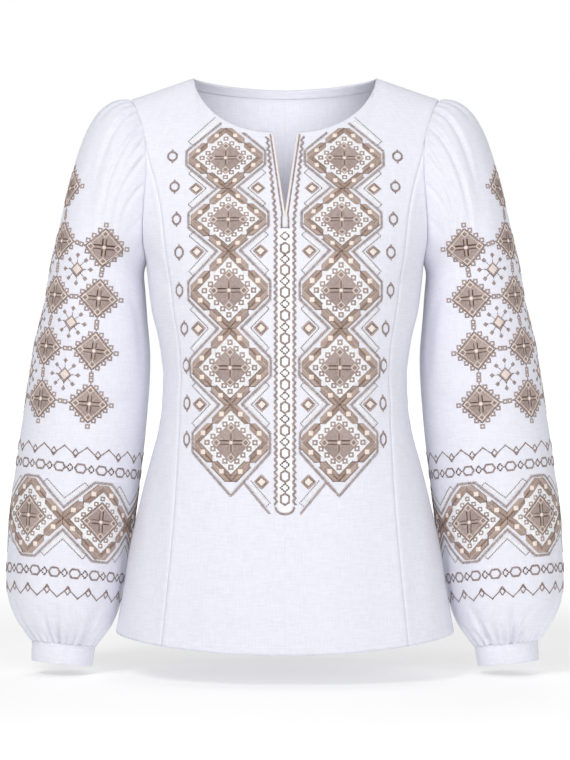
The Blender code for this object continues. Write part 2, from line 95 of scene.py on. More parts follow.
def added(name, data):
    """A new object in the scene."""
    made = bpy.data.objects.new(name, data)
    bpy.context.scene.collection.objects.link(made)
    return made


def aimed_at(place, target):
    """A rotation that turns a lamp or camera at place towards target."""
    way = Vector(target) - Vector(place)
    return way.to_track_quat("-Z", "Y").to_euler()


def plain_material(name, colour, roughness):
    made = bpy.data.materials.new(name)
    made.use_nodes = True
    shader = made.node_tree.nodes["Principled BSDF"]
    shader.inputs["Base Color"].default_value = (*colour, 1)
    shader.inputs["Roughness"].default_value = roughness
    return made


def floor_material():
    """A pale floor that glows and throws an even light up. To the camera it glows less near the blouse, a
    painted shadow that deepens the blouse's soft shadow, and looks brighter away from it.
    """
    made = plain_material("pale_floor", FLOOR_COLOUR, 0.9)
    nodes, links = made.node_tree.nodes, made.node_tree.links
    shader = nodes["Principled BSDF"]
    shader.inputs["Emission Strength"].default_value = 1.0
    kinds = ("TexCoord", "VectorMath", "VectorMath", "LightPath", "Math", "Mix")
    where, narrowed, reach, seen, seen_glow_painted_shadow, light = (nodes.new("ShaderNode" + kind) for kind in kinds)
    narrowed.operation, reach.operation = "MULTIPLY_ADD", "LENGTH"
    narrowed.inputs[1].default_value = PAINTED_SHADOW_STRETCH
    narrowed.inputs[2].default_value = PAINTED_SHADOW_SHIFT
    links.new(where.outputs["Object"], narrowed.inputs[0])
    links.new(narrowed.outputs[0], reach.inputs[0])
    # As the camera sees it, the floor glows less near the blouse: painted shadow.
    for number, glow in enumerate(FLOOR_GLOW_PAINTED_SHADOW):
        ramp = nodes.new("ShaderNodeMapRange")
        links.new(reach.outputs["Value"], ramp.inputs["Value"])
        for key, value in zip(("From Min", "From Max", "To Min", "To Max"), glow):
            ramp.inputs[key].default_value = value
        links.new(ramp.outputs["Result"], seen_glow_painted_shadow.inputs[number])
    light.inputs["A"].default_value = FLOOR_LIGHT
    links.new(seen.outputs["Is Camera Ray"], light.inputs["Factor"])
    links.new(seen_glow_painted_shadow.outputs[0], light.inputs["B"])
    links.new(light.outputs["Result"], shader.inputs["Emission Color"])
    return made


def make_room():
    floor_mesh = bpy.data.meshes.new("floor")
    half, level = FLOOR_SIZE / 2, cad_low.z - FLOOR_BELOW_CUFFS
    corners = [(-half, -half, level), (half, -half, level), (half, half, level), (-half, half, level)]
    floor_mesh.from_pydata(corners, [], [(0, 1, 2, 3)])
    floor_mesh.materials.append(floor_material())
    added("floor", floor_mesh)
    for lamp in LAMPS:
        light = bpy.data.lights.new(lamp["name"], "AREA")
        light.shape = "ELLIPSE"
        light.size, light.size_y = lamp["size"]
        light.spread = math.radians(lamp["spread"])
        light.energy = lamp["watts"]
        thing = added(lamp["name"], light)
        thing.location = lamp["place"]
        thing.rotation_euler = aimed_at(lamp["place"], lamp["target"])
        thing.visible_camera = False
    sky = bpy.data.worlds.new("sky")
    sky.use_nodes = True
    nodes, links = sky.node_tree.nodes, sky.node_tree.links
    kinds = ("Background", "LightPath", "MixShader")
    backdrop, seen, joined = (nodes.new("ShaderNode" + kind) for kind in kinds)
    links.new(seen.outputs["Is Camera Ray"], joined.inputs[0])
    skies = ((nodes["Background"], SKY_STRENGTH), (backdrop, BACKDROP_STRENGTH))
    for number, (shader, strength) in enumerate(skies, 1):
        shader.inputs["Color"].default_value = (1, 1, 1, 1)
        shader.inputs["Strength"].default_value = strength
        links.new(shader.outputs[0], joined.inputs[number])
    links.new(joined.outputs[0], nodes["World Output"].inputs[0])
    bpy.context.scene.world = sky
    camera = added("camera", bpy.data.cameras.new("camera"))
    camera.data.lens = CAMERA_LENS
    camera.location = (0, -CAMERA_DISTANCE, CAMERA_HEIGHT)
    camera.rotation_euler = (math.radians(90), 0, 0)
    bpy.context.scene.camera = camera
    bpy.context.scene.view_settings.view_transform = "Standard"


make_room()

# ------------------------------------------------------------------ the linen
# Bleached linen in plain weave, about 20 threads to the centimetre, with the slubs of uneven flax yarn
# running both ways. Every cloth piece has its lengthwise threads along V and its crosswise ones along U.

LINEN_COLOUR = (0.80, 0.80, 0.88)
LINEN_SLUB_COLOUR = (0.72, 0.72, 0.80)
LINEN_ROUGHNESS = 0.86
THREADS_PER_METRE = 2000.0
SLUB_LENGTH_SCALE = 55.0
SLUB_WIDTH_SCALE = 800.0


class Shade:
    """A socket in a material, so that shader maths is written as expressions."""

    def __init__(self, finish, socket):
        self.finish = finish
        self.socket = socket

    def maths(self, operation, first, second=0.0):
        return self.finish.node("ShaderNodeMath", {"operation": operation}, {0: first, 1: second})

    def __add__(self, other):
        return self.maths("ADD", self, other)

    def __sub__(self, other):
        return self.maths("SUBTRACT", self, other)

    def __rsub__(self, other):
        return self.maths("SUBTRACT", other, self)

    def __mul__(self, other):
        return self.maths("MULTIPLY", self, other)

    def between(self, low, high):
        """0 up to low, 1 from high on, smooth between."""
        settings = {"interpolation_type": "SMOOTHSTEP"}
        values = {"Value": self, "From Min": low, "From Max": high}
        return self.finish.node("ShaderNodeMapRange", settings, values)

    __radd__ = __add__
    __rmul__ = __mul__


class Finish:
    """A material that is built from nodes round one Principled shader."""

    def __init__(self, name, **constants):
        self.material = bpy.data.materials.new(name)
        self.material.use_nodes = True
        self.tree = self.material.node_tree
        self.shader = self.tree.nodes["Principled BSDF"]
        for key, value in constants.items():
            self.shader.inputs[key.replace("_", " ")].default_value = value

    def node(self, kind, settings=None, values=None, output=0):
        made = self.tree.nodes.new(kind)
        for key, value in (settings or {}).items():
            setattr(made, key, value)
        for key, value in (values or {}).items():
            if isinstance(value, Shade):
                self.tree.links.new(value.socket, made.inputs[key])
            else:
                made.inputs[key].default_value = value
        return Shade(self, made.outputs[output])

    def give(self, **shades):
        for key, shade in shades.items():
            self.tree.links.new(shade.socket, self.shader.inputs[key.replace("_", " ")])

    def mixed(self, share, first, second):
        return self.node("ShaderNodeMix", {"data_type": "RGBA"}, {0: share, 6: first, 7: second}, output=2)

    def noise(self, vector, scale, detail, roughness):
        values = {"Vector": vector, "Scale": scale, "Detail": detail, "Roughness": roughness}
        return self.node("ShaderNodeTexNoise", {}, values)

    def stretched(self, vector, scales):
        """The vector scaled apart along its axes."""
        return self.node("ShaderNodeVectorMath", {"operation": "MULTIPLY"}, {0: vector, 1: scales})

    def bump(self, height, strength, distance):
        values = {"Height": height, "Strength": strength, "Distance": distance}
        return self.node("ShaderNodeBump", {}, values)


def linen_finish():
    finish = Finish("white_linen", Sheen_Weight=0.15, Sheen_Roughness=0.5, Specular_IOR_Level=0.25)
    along = finish.node("ShaderNodeUVMap", {"uv_map": "grain"})
    across = finish.node("ShaderNodeSeparateXYZ", {}, {"Vector": along})
    up = Shade(finish, across.socket.node.outputs[1])
    turn = math.pi * THREADS_PER_METRE
    weave = across.maths("SINE", across * turn) * up.maths("SINE", up * turn)
    weft = finish.noise(finish.stretched(along, (SLUB_LENGTH_SCALE, SLUB_WIDTH_SCALE, 1)), 1.0, 3.0, 0.6)
    warp = finish.noise(finish.stretched(along, (SLUB_WIDTH_SCALE, SLUB_LENGTH_SCALE, 1)), 1.0, 3.0, 0.6)
    mottle = finish.noise(along, 130.0, 3.0, 0.6)
    slubs = weft * 0.5 + warp * 0.5
    shade = slubs.between(0.36, 0.62) * 0.75 + mottle.between(0.3, 0.7) * 0.25
    finish.give(
        Base_Color=finish.mixed(shade, (*LINEN_SLUB_COLOUR, 1), (*LINEN_COLOUR, 1)),
        Roughness=LINEN_ROUGHNESS - 0.12 * shade,
        Normal=finish.bump(weave * 0.35 + slubs * 1.6, 0.55, 0.00035),
    )
    return finish.material


linen = linen_finish()


def read_table(rows, key, name):
    """The table's column called name as a smooth function of its column called key."""
    rows = sorted(rows, key=lambda row: row[key])
    at = np.array([row[key] for row in rows], float)
    value = np.array([row[name] for row in rows], float)
    rise = np.diff(value) / np.diff(at)
    slope = np.concatenate([rise[:1], (rise[:-1] + rise[1:]) / 2, rise[-1:]])
    slope[1:-1][rise[:-1] * rise[1:] <= 0] = 0.0

    def read(x):
        x = np.clip(x, at[0], at[-1])
        i = np.clip(np.searchsorted(at, x, side="right") - 1, 0, len(at) - 2)
        step = at[i + 1] - at[i]
        t = (x - at[i]) / step
        low = value[i] * (1 + 2 * t) * (1 - t) ** 2 + slope[i] * step * t * (1 - t) ** 2
        return low + value[i + 1] * t * t * (3 - 2 * t) - slope[i + 1] * step * t * t * (1 - t)

    return read


def unit(vectors):
    return vectors / np.maximum(np.linalg.norm(vectors, axis=-1, keepdims=True), 1e-9)


def grid_normals(points):
    """A normal for each point of a grid. A tube's grid ends with its first column again."""
    down = np.gradient(points, axis=0)
    across = np.gradient(points, axis=1)
    if np.allclose(points[:, 0], points[:, -1]):
        across[:, 0] = across[:, -1] = (points[:, 1] - points[:, -2]) / 2
    return unit(np.cross(across, down))


def lengths(points, axis):
    """How far each point of a grid is along its row or column, from the first."""
    steps = np.linalg.norm(np.diff(points, axis=axis), axis=-1)
    start = np.zeros_like(np.take(steps, [0], axis=axis))
    return np.concatenate([start, np.cumsum(steps, axis=axis)], axis=axis)


def creases(table, a, b):
    """The height that a table of soft troughs and ridges gives each place (a, b).

    Each runs from (a1, b1) to (a2, b2), with a width and a height, and fades out towards both ends.
    """
    height = np.zeros(np.broadcast(a, b).shape)
    for row in table:
        run = np.array([row["a2"] - row["a1"], row["b2"] - row["b1"]], float)
        size = math.hypot(*run)
        along = ((a - row["a1"]) * run[0] + (b - row["b1"]) * run[1]) / size**2
        beside = ((a - row["a1"]) * run[1] - (b - row["b1"]) * run[0]) / size
        bend = row["bend"] * np.sin(np.pi * np.clip(along, 0, 1))
        fade = np.clip(along, 0, 1) * np.clip(1 - along, 0, 1) * 4
        height += row["height"] * np.sqrt(fade) * np.exp(-(((beside - bend) / row["width"]) ** 2))
    return height


def quads(index):
    """The corners of every cell in a grid of point numbers."""
    corners = [index[:-1, :-1], index[:-1, 1:], index[1:, 1:], index[1:, :-1]]
    return np.stack(corners, axis=-1).reshape(-1, 4)


def cloth(name, outside, inside_of, grain, thickness, nodes, mirror_too=False):
    """A cloth piece with a wall: outside is its grid of points and inside_of a place within the hollow.

    grain is the grid of (across, along) in the weave. It replaces the named solids and rides on the root.
    """
    rows, columns = outside.shape[:2]
    normals = grid_normals(outside)
    if np.sum(normals * (outside - inside_of)) < 0:
        normals = -normals
    if mirror_too:
        normals[np.abs(outside[..., 0]) < 1e-6, 0] = 0.0
    points = np.stack([outside, outside - normals * thickness]).reshape(-1, 3)
    uv = np.stack([grain, grain]).reshape(-1, 2) * MM
    if mirror_too:
        points = np.concatenate([points, points * (-1, 1, 1)])
        uv = np.concatenate([uv, uv * (-1, 1)])
    index = np.arange(rows * columns).reshape(rows, columns)
    count = rows * columns
    wall = quads(index)
    edges = [
        (index[0, 1:], index[0, :-1]), (index[-1, :-1], index[-1, 1:]),
        (index[:-1, 0], index[1:, 0]), (index[1:, -1], index[:-1, -1]),
    ]
    rims = [np.stack([start, end, end + count, start + count], axis=-1) for start, end in edges]
    faces = np.concatenate([wall, wall[:, ::-1] + count, *rims])
    if mirror_too:
        faces = np.concatenate([faces, faces[:, ::-1] + 2 * count])
    return finished(name, points, faces.tolist(), uv, linen, "white_linen", nodes)


def rooted(name, mesh, slot, nodes=()):
    """A piece of the blouse that rides on the root and replaces the named solids."""
    piece = added(name, mesh)
    if nodes:
        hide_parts(*nodes)
    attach(piece, "root")
    return piece


def finished(name, points, faces, uv, finish, slot, nodes=()):
    """A smooth mesh piece from points in millimetres, its doubles merged and its faces outwards."""
    mesh = bpy.data.meshes.new(name)
    mesh.from_pydata((points * MM).tolist(), [], faces)
    made = bmesh.new()
    made.from_mesh(mesh)
    layer = made.loops.layers.uv.new("grain")
    for face in made.faces:
        for loop in face.loops:
            loop[layer].uv = uv[loop.vert.index]
    bmesh.ops.remove_doubles(made, verts=made.verts, dist=2e-6)
    alike = {}
    for face in made.faces:
        alike.setdefault(frozenset(face.verts), []).append(face)
    inner = [face for same in alike.values() if len(same) > 1 for face in same]
    bmesh.ops.delete(made, geom=inner, context="FACES")
    bmesh.ops.recalc_face_normals(made, faces=made.faces)
    made.to_mesh(mesh)
    made.free()
    mesh.shade_smooth()
    mesh.materials.append(finish)
    return rooted(name, mesh, slot, nodes)


# ------------------------------------------------------------------ the body
# Front, two side fronts and a back, sewn at the shoulders, the princess seams and the side seams. Seam
# edges turn in, the hem is folded up inside and stitched, and the neck is bound inside with a bias strip.

CLOTH = 1.1
NECK_HALF_WIDTH = 103.7
NECK_FRONT_DROP = 68.0
NECK_BACK_DROP = 6.4
SHOULDER_FALL = 0.35
SHOULDER_ROUND_FROM = -120.0
SLIT_HALF_WIDTH = 13.7
SLIT_END = -163.0
UNDERARM = -212.0
HEM_FRONT = -643.5
HEM_SIDE = -629.5
HEM_BACK = -637.0
SECTION_POWER = 2.3
PRINCESS_MEETS_ARMHOLE = -76.5
SEAM_TURN_IN = 0.9
SEAM_TURN_WIDTH = 1.5
SEAM_ALLOWANCE = 7.5
SEAM_ALLOWANCE_RISE = 0.45
HEM_BAND = 9.5
NECK_CORNER_SPREAD = 34.0
HEM_STEP = 0.2
BINDING_WIDTH = 9.0
BINDING_THICKNESS = 0.8
BINDING_GAP = 0.15
BINDING_REACH = 0.9985
PANEL_GAP = 0.1
NORMAL_STEP = 0.4
FRONT_ROWS = (26, 18, 84)
BACK_ROWS = (28, 18, 84)
FRONT_COLUMNS = 44
BACK_COLUMNS = 50
SIDE_COLUMNS = 20
SIDE_FRONT_X = 152.0
SIDES = (("left", 1), ("right", -1))

# The body's half width and its depth in front and behind, by height.
BODY = table(
    "z half_width front back",
    (40, 255, 30, 66), (0, 245, 38, 84), (-25, 234, 46, 90), (-68, 212, 62, 97), (-108, 188, 80, 102),
    (-142, 176, 94, 104), (-174, 169, 105, 103), (-200, 161, 112, 100), (-212, 157.5, 114, 98),
    (-240, 153.5, 117, 93), (-268, 149.5, 116, 88), (-292, 144.2, 112, 83), (-320, 140.0, 107, 79),
    (-356, 138.3, 103, 77), (-390, 141.8, 102, 79), (-435, 153.5, 104, 86), (-481, 164.3, 107, 94),
    (-527, 174.8, 111, 101), (-577, 183.0, 115, 107), (-640, 193.0, 120, 113),
)
# How far the armhole and the princess seam are from the body's middle, by height.
ARMHOLE = table(
    "z front back",
    (-25.1, 175.5, 175.5), (-32, 170.8, 172.5), (-43, 166.0, 169.5), (-58, 161.0, 166.5),
    (-76, 157.0, 164.5), (-100, 155.3, 163.5), (-142, 158.0, 163.0), (-174, 160.0, 162.5),
    (-190, 159.8, 161.5), (-200, 158.7, 159.5), (-212, 157.5, 157.5),
)
PRINCESS = table(
    "z x",
    (-84, 155.8), (-108, 149.0), (-146, 139.6), (-203, 132.5), (-241, 127.6), (-279, 121.7), (-306, 117.6),
    (-340, 116.3), (-395, 117.6), (-487, 122.5), (-640, 136.5),
)
# Soft folds of the body, by distance from its middle and height: pulls from the underarm, slack at the
# waist, and the flare's flutes above the hem.
FRONT_FOLDS = table(
    "a1 b1 a2 b2 width height bend",
    (158, -196, 118, -262, 7, -1.5, 4), (160, -214, 132, -305, 6, 1.1, -3),
    (150, -330, 96, -352, 8, -1.0, 3), (148, -366, 104, -372, 7, 0.8, -2),
    (146, -396, 150, -640, 12, -1.8, 5), (98, -470, 104, -690, 17, -1.5, -4),
    (56, -500, 54, -700, 15, 1.0, 4), (20, -520, 25, -700, 16, -1.1, -3),
)
BACK_FOLDS = table(
    "a1 b1 a2 b2 width height bend",
    (160, -190, 92, -282, 8, -2.0, 5), (158, -222, 104, -318, 7, 1.4, -3),
    (150, -312, 30, -346, 8, -1.9, -5), (148, -352, 44, -374, 7, 1.5, 4),
    (138, -392, 60, -396, 8, -1.3, -3), (140, -420, 150, -700, 14, -2.0, 5),
    (92, -450, 104, -710, 18, -2.2, -5), (40, -430, 46, -720, 16, 1.6, 5), (0, -440, 4, -720, 14, -1.5, -3),
    (60, -70, 142, -160, 14, -1.4, -4),
)

half_width = read_table(BODY, "z", "half_width")
body_depth = {"front": read_table(BODY, "z", "front"), "back": read_table(BODY, "z", "back")}
armhole_x = {"front": read_table(ARMHOLE, "z", "front"), "back": read_table(ARMHOLE, "z", "back")}
princess_x = read_table(PRINCESS, "z", "x")


def shoulder_line(x):
    return (NECK_HALF_WIDTH - np.abs(x)) * SHOULDER_FALL


def body_point(x, z, side):
    """The outside of the cloth at this distance from the middle and this height."""
    x, z = np.broadcast_arrays(np.asarray(x, float), np.asarray(z, float))
    across = 1 - np.minimum(1.0, np.abs(x) / half_width(z)) ** SECTION_POWER
    over = (z - SHOULDER_ROUND_FROM) / (shoulder_line(x) - SHOULDER_ROUND_FROM)
    round_off = np.sqrt(np.maximum(0.0, 1 - np.clip(over, 0, 1) ** 2))
    y = body_depth[side](z) * across ** (1 / SECTION_POWER) * round_off
    return np.stack([x, -y if side == "front" else y, z], axis=-1)


def body_surface(x, z, side):
    """The outside of the finished cloth, its folds included, and its normals."""
    folds = FRONT_FOLDS if side == "front" else BACK_FOLDS

    def normals(surface, x, z):
        beside = surface(x + NORMAL_STEP, z) - surface(x - NORMAL_STEP, z)
        above = surface(x, z + NORMAL_STEP) - surface(x, z - NORMAL_STEP)
        return unit(np.cross(beside, above) * (1 if side == "front" else -1))

    def flat(x, z):
        return body_point(x, z, side)

    def folded(x, z):
        return flat(x, z) + normals(flat, x, z) * creases(folds, np.abs(x), z)[..., None]

    return folded(x, z), normals(folded, x, z)


def neckline(x, side):
    share = np.minimum(1.0, np.abs(x) / NECK_HALF_WIDTH)
    if side == "front":
        return -NECK_FRONT_DROP * (1 - share**2.5) ** 0.6
    return -NECK_BACK_DROP * (1 - share**2)


def top_edge(x, side):
    return np.where(np.abs(x) < NECK_HALF_WIDTH, neckline(x, side), shoulder_line(x))


def hem(x, side):
    middle = HEM_FRONT if side == "front" else HEM_BACK
    return middle + (HEM_SIDE - middle) * np.minimum(1.0, np.abs(x) / half_width(HEM_SIDE)) ** 2


def slit_x(z):
    return SLIT_HALF_WIDTH * np.clip((z - SLIT_END) / (-NECK_FRONT_DROP - SLIT_END), 0, 1)


def row_heights(side, level_counts):
    """Row heights as functions of x: round the shoulder, down to the underarm and down to the hem."""

    def start(x):
        across = (top_edge(x, side) - SHOULDER_ROUND_FROM) / (shoulder_line(x) - SHOULDER_ROUND_FROM)
        return np.arcsin(np.clip(across, 0, 1))

    def rounding(share):
        def height(x):
            around = NECK_CORNER_SPREAD * share * np.linspace(-1, 1, 15)
            nearby = [start(np.abs(x + away)) for away in around]
            turned = np.mean(nearby, axis=0) * (1 - share)
            return SHOULDER_ROUND_FROM + (shoulder_line(x) - SHOULDER_ROUND_FROM) * np.sin(turned)

        return height

    def straight(start, share):
        return lambda x: start + ((UNDERARM if start > UNDERARM else hem(x, side)) - start) * share

    round_shares, upper = (np.linspace(0, 1, count, endpoint=False) for count in level_counts[:2])
    rows = [rounding(share) for share in round_shares]
    rows += [straight(SHOULDER_ROUND_FROM, share) for share in upper]
    lower = np.concatenate([np.linspace(0, 0.965, level_counts[2]), [0.975, 0.983, 0.991, 1.0]])
    return rows + [straight(UNDERARM, share) for share in lower]


def met(edge, height, start):
    """The x at which a row reaches an edge that gives x for z."""
    x = np.array(start, float)
    for _ in range(40):
        x = edge(height(x))
    return float(x)


def edged_spread(count, closer=()):
    """Shares of a row from 0 to 1, close together at both ends, where a seam's edge turns in."""
    near = np.array([0.0, 0.004, 0.009, 0.016])
    return np.sort(np.concatenate([near, np.linspace(0.03, 0.97, count), 1 - near[::-1], closer]))


def body_grid(heights, inner_edge, outer_edge, count, closer=()):
    """A grid of (x, z) with a row for each height, from the inner edge to the outer edge."""
    spread = edged_spread(count, closer)
    grid = []
    for height in heights:
        inner, outer = met(inner_edge, height, 10.0), met(outer_edge, height, 150.0)
        reach = float(half_width(height(np.array(outer))))
        turn = np.arcsin(np.minimum(1.0, np.array([inner, outer]) / reach))
        x = np.clip(reach * np.sin(turn[0] + (turn[1] - turn[0]) * spread), inner, outer)
        grid.append(np.stack([x, height(x) + 0 * x], axis=-1))
    return np.array(grid)


def turned_in(distance):
    """A seam's edge, rolled in, and beside it the low step over the allowance pressed under it."""
    over = 0.5 - 0.5 * np.tanh((distance - SEAM_ALLOWANCE) / 1.2)
    return SEAM_ALLOWANCE_RISE * over - SEAM_TURN_IN * np.exp(-((distance / SEAM_TURN_WIDTH) ** 2))


def body_panel(name, side, grid, seams, node, mirror_too=False, flip=1):
    """A panel from its grid of (x, z). seams names the edges that are sewn: inner, outer."""
    outside, normals = body_surface(grid[..., 0], grid[..., 1], side)
    row = lengths(outside, 1)
    column = lengths(outside, 0)
    lift = np.zeros(row.shape)
    if "inner" in seams:
        lift += turned_in(row)
    if "outer" in seams:
        lift += turned_in(row[:, -1:] - row)
    above_hem = column[-1:] - column
    lift += HEM_STEP - HEM_STEP * np.tanh(above_hem - HEM_BAND)
    outside = outside + normals * lift[..., None]
    grain = np.stack([row + grid[:, :1, 0], grid[..., 1]], axis=-1)
    inside_of = outside * (0, 0, 1) + (0, 0, -60)
    inside_of[..., 2] = np.minimum(inside_of[..., 2], -150)
    outside[..., 0] *= flip
    return cloth(name, outside, inside_of, grain, CLOTH, [node], mirror_too=mirror_too)


def middle_or_slit(z):
    return np.where(z > SLIT_END, slit_x(z), 0.0)


def front_outer(z):
    return np.where(z > PRINCESS_MEETS_ARMHOLE, armhole_x["front"](z), princess_x(z)) - PANEL_GAP


def side_outer(side):
    return lambda z: np.where(z > UNDERARM, armhole_x[side](z), half_width(z)) - PANEL_GAP


front_heights = row_heights("front", FRONT_ROWS)
closer = np.linspace(0.49, 0.525, 8)
front_grid = body_grid(front_heights, middle_or_slit, front_outer, FRONT_COLUMNS, closer)
front_cloth = body_panel("front_cloth", "front", front_grid, ["outer"], "front_panel", mirror_too=True)
back_heights = row_heights("back", BACK_ROWS)
back_grid = body_grid(back_heights, lambda z: 0.0 * z, side_outer("back"), BACK_COLUMNS)
back_cloth = body_panel("back_cloth", "back", back_grid, ["outer"], "back_panel", mirror_too=True)
side_heights = [h for h in front_heights if h(np.array(SIDE_FRONT_X)) < PRINCESS_MEETS_ARMHOLE - 4]
side_grid = body_grid(side_heights, lambda z: princess_x(z) + PANEL_GAP, side_outer("front"), SIDE_COLUMNS)
for side_name, flip in SIDES:
    name, node = f"side_front_cloth_{side_name}", f"side_front_{side_name}"
    side_cloth = body_panel(name, "front", side_grid, ["inner", "outer"], node, flip=flip)


def bind_neck():
    """The bias strip inside the neckline, from the slit over the shoulders and round the back."""
    turns = np.linspace(0, math.pi / 2, 60)
    start = SLIT_HALF_WIDTH / NECK_HALF_WIDTH
    across = {
        "front": NECK_HALF_WIDTH * (start + (BINDING_REACH - start) * np.sin(turns)),
        "back": NECK_HALF_WIDTH * BINDING_REACH * np.sin(turns[::-1]),
    }
    strips = []
    for side, x in across.items():
        run = neckline(x, side) - neckline(x - NORMAL_STEP, side)
        out = unit(np.stack([run, np.full_like(x, -NORMAL_STEP)], axis=-1))
        width = np.linspace(0, BINDING_WIDTH, 8)
        at = x[:, None] + out[:, :1] * width
        z = np.minimum(neckline(x, side)[:, None] + out[:, 1:] * width, shoulder_line(at) - 0.02)
        points, normals = body_surface(at, z, side)
        strips.append(points - normals * (CLOTH + BINDING_GAP))
    half = np.concatenate(strips)
    half[-1, :, 0] = 0.0
    ring = np.concatenate([half, half[-2::-1] * (-1, 1, 1)])
    grain = np.stack([lengths(ring, 1), lengths(ring, 0)], axis=-1)
    middle, node = np.array([0, 0, -150.0]), ["neck_binding"]
    binding = cloth("neck_binding_cloth", ring, middle, grain, BINDING_THICKNESS, node)


bind_neck()

# ------------------------------------------------------------------ the sleeves
# Each is one piece, seamed down the body's side. Its cap is gathered into the armhole seam, which is
# turned in under the body's edge, and its wide end is gathered all round into the cuff.

# The sleeve's sections by height: their middle, half width and depth, and how they tip, in degrees.
SLEEVE = table(
    "z x y half_width half_depth tip_out tip_forward",
    (-225, 213.5, 6, 55.5, 57, 15, 0), (-262, 216.0, 9, 59.0, 59, 9, 0),
    (-310, 220.5, 13, 66.5, 62, 6.5, 0), (-375, 227.5, 16, 70.0, 64, 6.2, 0),
    (-440, 236.0, 17, 71.5, 66, 6.5, 2), (-500, 243.5, 14, 71.5, 67, 6.0, 4.5),
    (-547, 248.6, 10, 68.8, 66, 5.6, 5.5), (-580, 251.6, 6, 66.5, 63, 5.6, 5.5),
    (-603, 252.8, 4, 62.0, 58, 5.6, 5.5), (-621, 253.0, 2, 53.8, 49, 5.6, 5.5),
    (-633, 252.6, 1, 45.0, 39.5, 5.6, 5.5), (-640, 252.2, 0.5, 39.4, 33.8, 5.6, 5.5),
    (-644.5, 252.0, 0, 36.3, 30.5, 5.6, 5.5),
)
# The handles of the cap's curves round the sleeve: out of the armhole, and down into the first section.
CAP = table(
    "turn out forward up lower_in lower_forward lower_up",
    (0, 58, 0, 6, 26, 0, 97), (45, 44, 16, 3, 12, -1, 83), (90, 26, 16, -4, -2, 1, 56),
    (135, 13, 8, -9, -1, 0, 26), (180, 4, 0, -9, -1, 0, 11), (225, 13, -8, -9, -1, 0, 26),
    (270, 26, -12, -4, -2, -1, 56), (315, 44, -12, 3, 12, 1, 83), (360, 58, 0, 6, 26, 0, 97),
)
SLEEVE_TOP = -225.0
SLEEVE_END = -644.5
SLEEVE_COLUMNS = 192
CAP_ROWS = 50
CAP_MIDDLE_TOP = -110
CUFF_ROWS_FROM = -556
CUFF_ROWS = 42
ROW_SPACING = 4.1
CAP_STARTS_OFF = 1.2
CAP_CENTRE_TURN = 36.0
# The seam allowance starts this far under the body's edge and runs on towards a place in the body.
ALLOWANCE_STARTS = 1.9
ALLOWANCE_WIDTH = 1.2
ALLOWANCE_SET_IN = np.array([-2.6, 0, 0])
ALLOWANCE_RUNS_TO = np.array([120.0, 0, -118])
# The line down the sleeve that its embroidery is centred on, by height.
CENTRE_LINE = table(
    "v turn",
    (-60, 25), (-126, 31), (-187, 36), (-253, 40), (-313, 43), (-371, 46), (-504, 53), (-587, 57),
    (-645, 57),
)
# Valleys of the gathers, with their place round the sleeve, depth, length down it and lean in degrees.
CUFF_GATHERS = table(
    "turn depth length lean width",
    (12, 6.7, 42, -3, 3.1), (26, 5.6, 26, -4, 2.5), (40, 8.1, 58, -9, 3.8), (54, 5.2, 18, -2, 2.3),
    (66, 5.2, 22, -2, 2.1), (75, 7.1, 50, -2, 3.0), (86.5, 8.5, 56, 3, 3.5), (98, 6.4, 32, 5, 2.6),
    (109, 7.1, 38, 7, 3.1), (125, 7.8, 56, 11, 3.8), (138, 5.3, 24, 3, 2.4), (158, 5.6, 34, 5, 2.7),
    (174, 4.1, 20, 2, 2.0), (194, 3.6, 14, 0, 1.8), (208, 5.3, 34, -3, 2.4), (222, 4.5, 22, -2, 2.0),
    (236, 6.3, 48, -5, 2.7), (250, 4.1, 18, 0, 1.9), (263, 6.3, 44, -2, 2.6), (276, 4.9, 26, 0, 2.1),
    (290, 6.4, 52, 2, 2.8), (303, 4.1, 16, 0, 1.9), (316, 6.0, 40, -4, 2.6), (329, 4.5, 24, -3, 2.0),
    (343, 6.3, 46, -5, 2.7), (356, 4.5, 20, 0, 2.0),
)
CAP_GATHERS = table(
    "turn depth length lean width",
    (4, 2.7, 30, 2, 3.2), (13, 3.0, 52, 9, 3.7), (22, 2.2, 22, 6, 2.8), (31, 5.5, 84, 34, 4.3),
    (40, 2.4, 28, 10, 2.9), (50, 5.6, 100, 44, 4.3), (61, 4.3, 36, 26, 3.2), (74, 4.2, 72, 36, 3.9),
    (94, 2.3, 44, 16, 3.7), (118, 1.4, 30, 4, 3.7), (354, 2.8, 46, -6, 3.7), (344, 2.6, 26, -2, 2.9),
    (333, 5.2, 90, -32, 4.5), (321, 2.6, 34, -8, 3.2), (307, 4.9, 80, -34, 4.2), (291, 2.7, 38, -5, 3.4),
    (275, 2.7, 54, -14, 3.9), (252, 1.8, 34, -4, 3.9),
)
# Folds by distance from the embroidery's centre line towards the front, and height.
SLEEVE_FOLDS = table(
    "a1 b1 a2 b2 width height bend",
    (96, -232, 128, -330, 8, -1.8, -4), (-98, -236, -142, -344, 9, -2.0, 4),
    (128, -352, 62, -372, 9, -1.6, -4), (148, -388, 78, -404, 8, 1.2, 3),
    (-132, -362, -66, -384, 9, -1.5, 4), (-120, -404, -176, -392, 9, 1.2, -3),
    (118, -452, 136, -560, 11, -1.8, 4), (-86, -448, -96, -572, 12, -1.9, -4),
    (30, -530, 34, -620, 12, -1.2, 3), (-22, -534, -30, -618, 12, -1.1, -2),
    (20, -92, 52, -190, 12, -1.0, -5),
)
SLEEVE_SEAM_AT = 180.0
SLEEVE_SEAM_DEPTH = 0.8
SLEEVE_SEAM_WIDTH = 1.3

sleeve_read = {key: read_table(SLEEVE, "z", key) for key in SLEEVE[0]}
cap_read = {key: read_table(CAP, "turn", key) for key in CAP[0]}
centre_turn = read_table(CENTRE_LINE, "v", "turn")


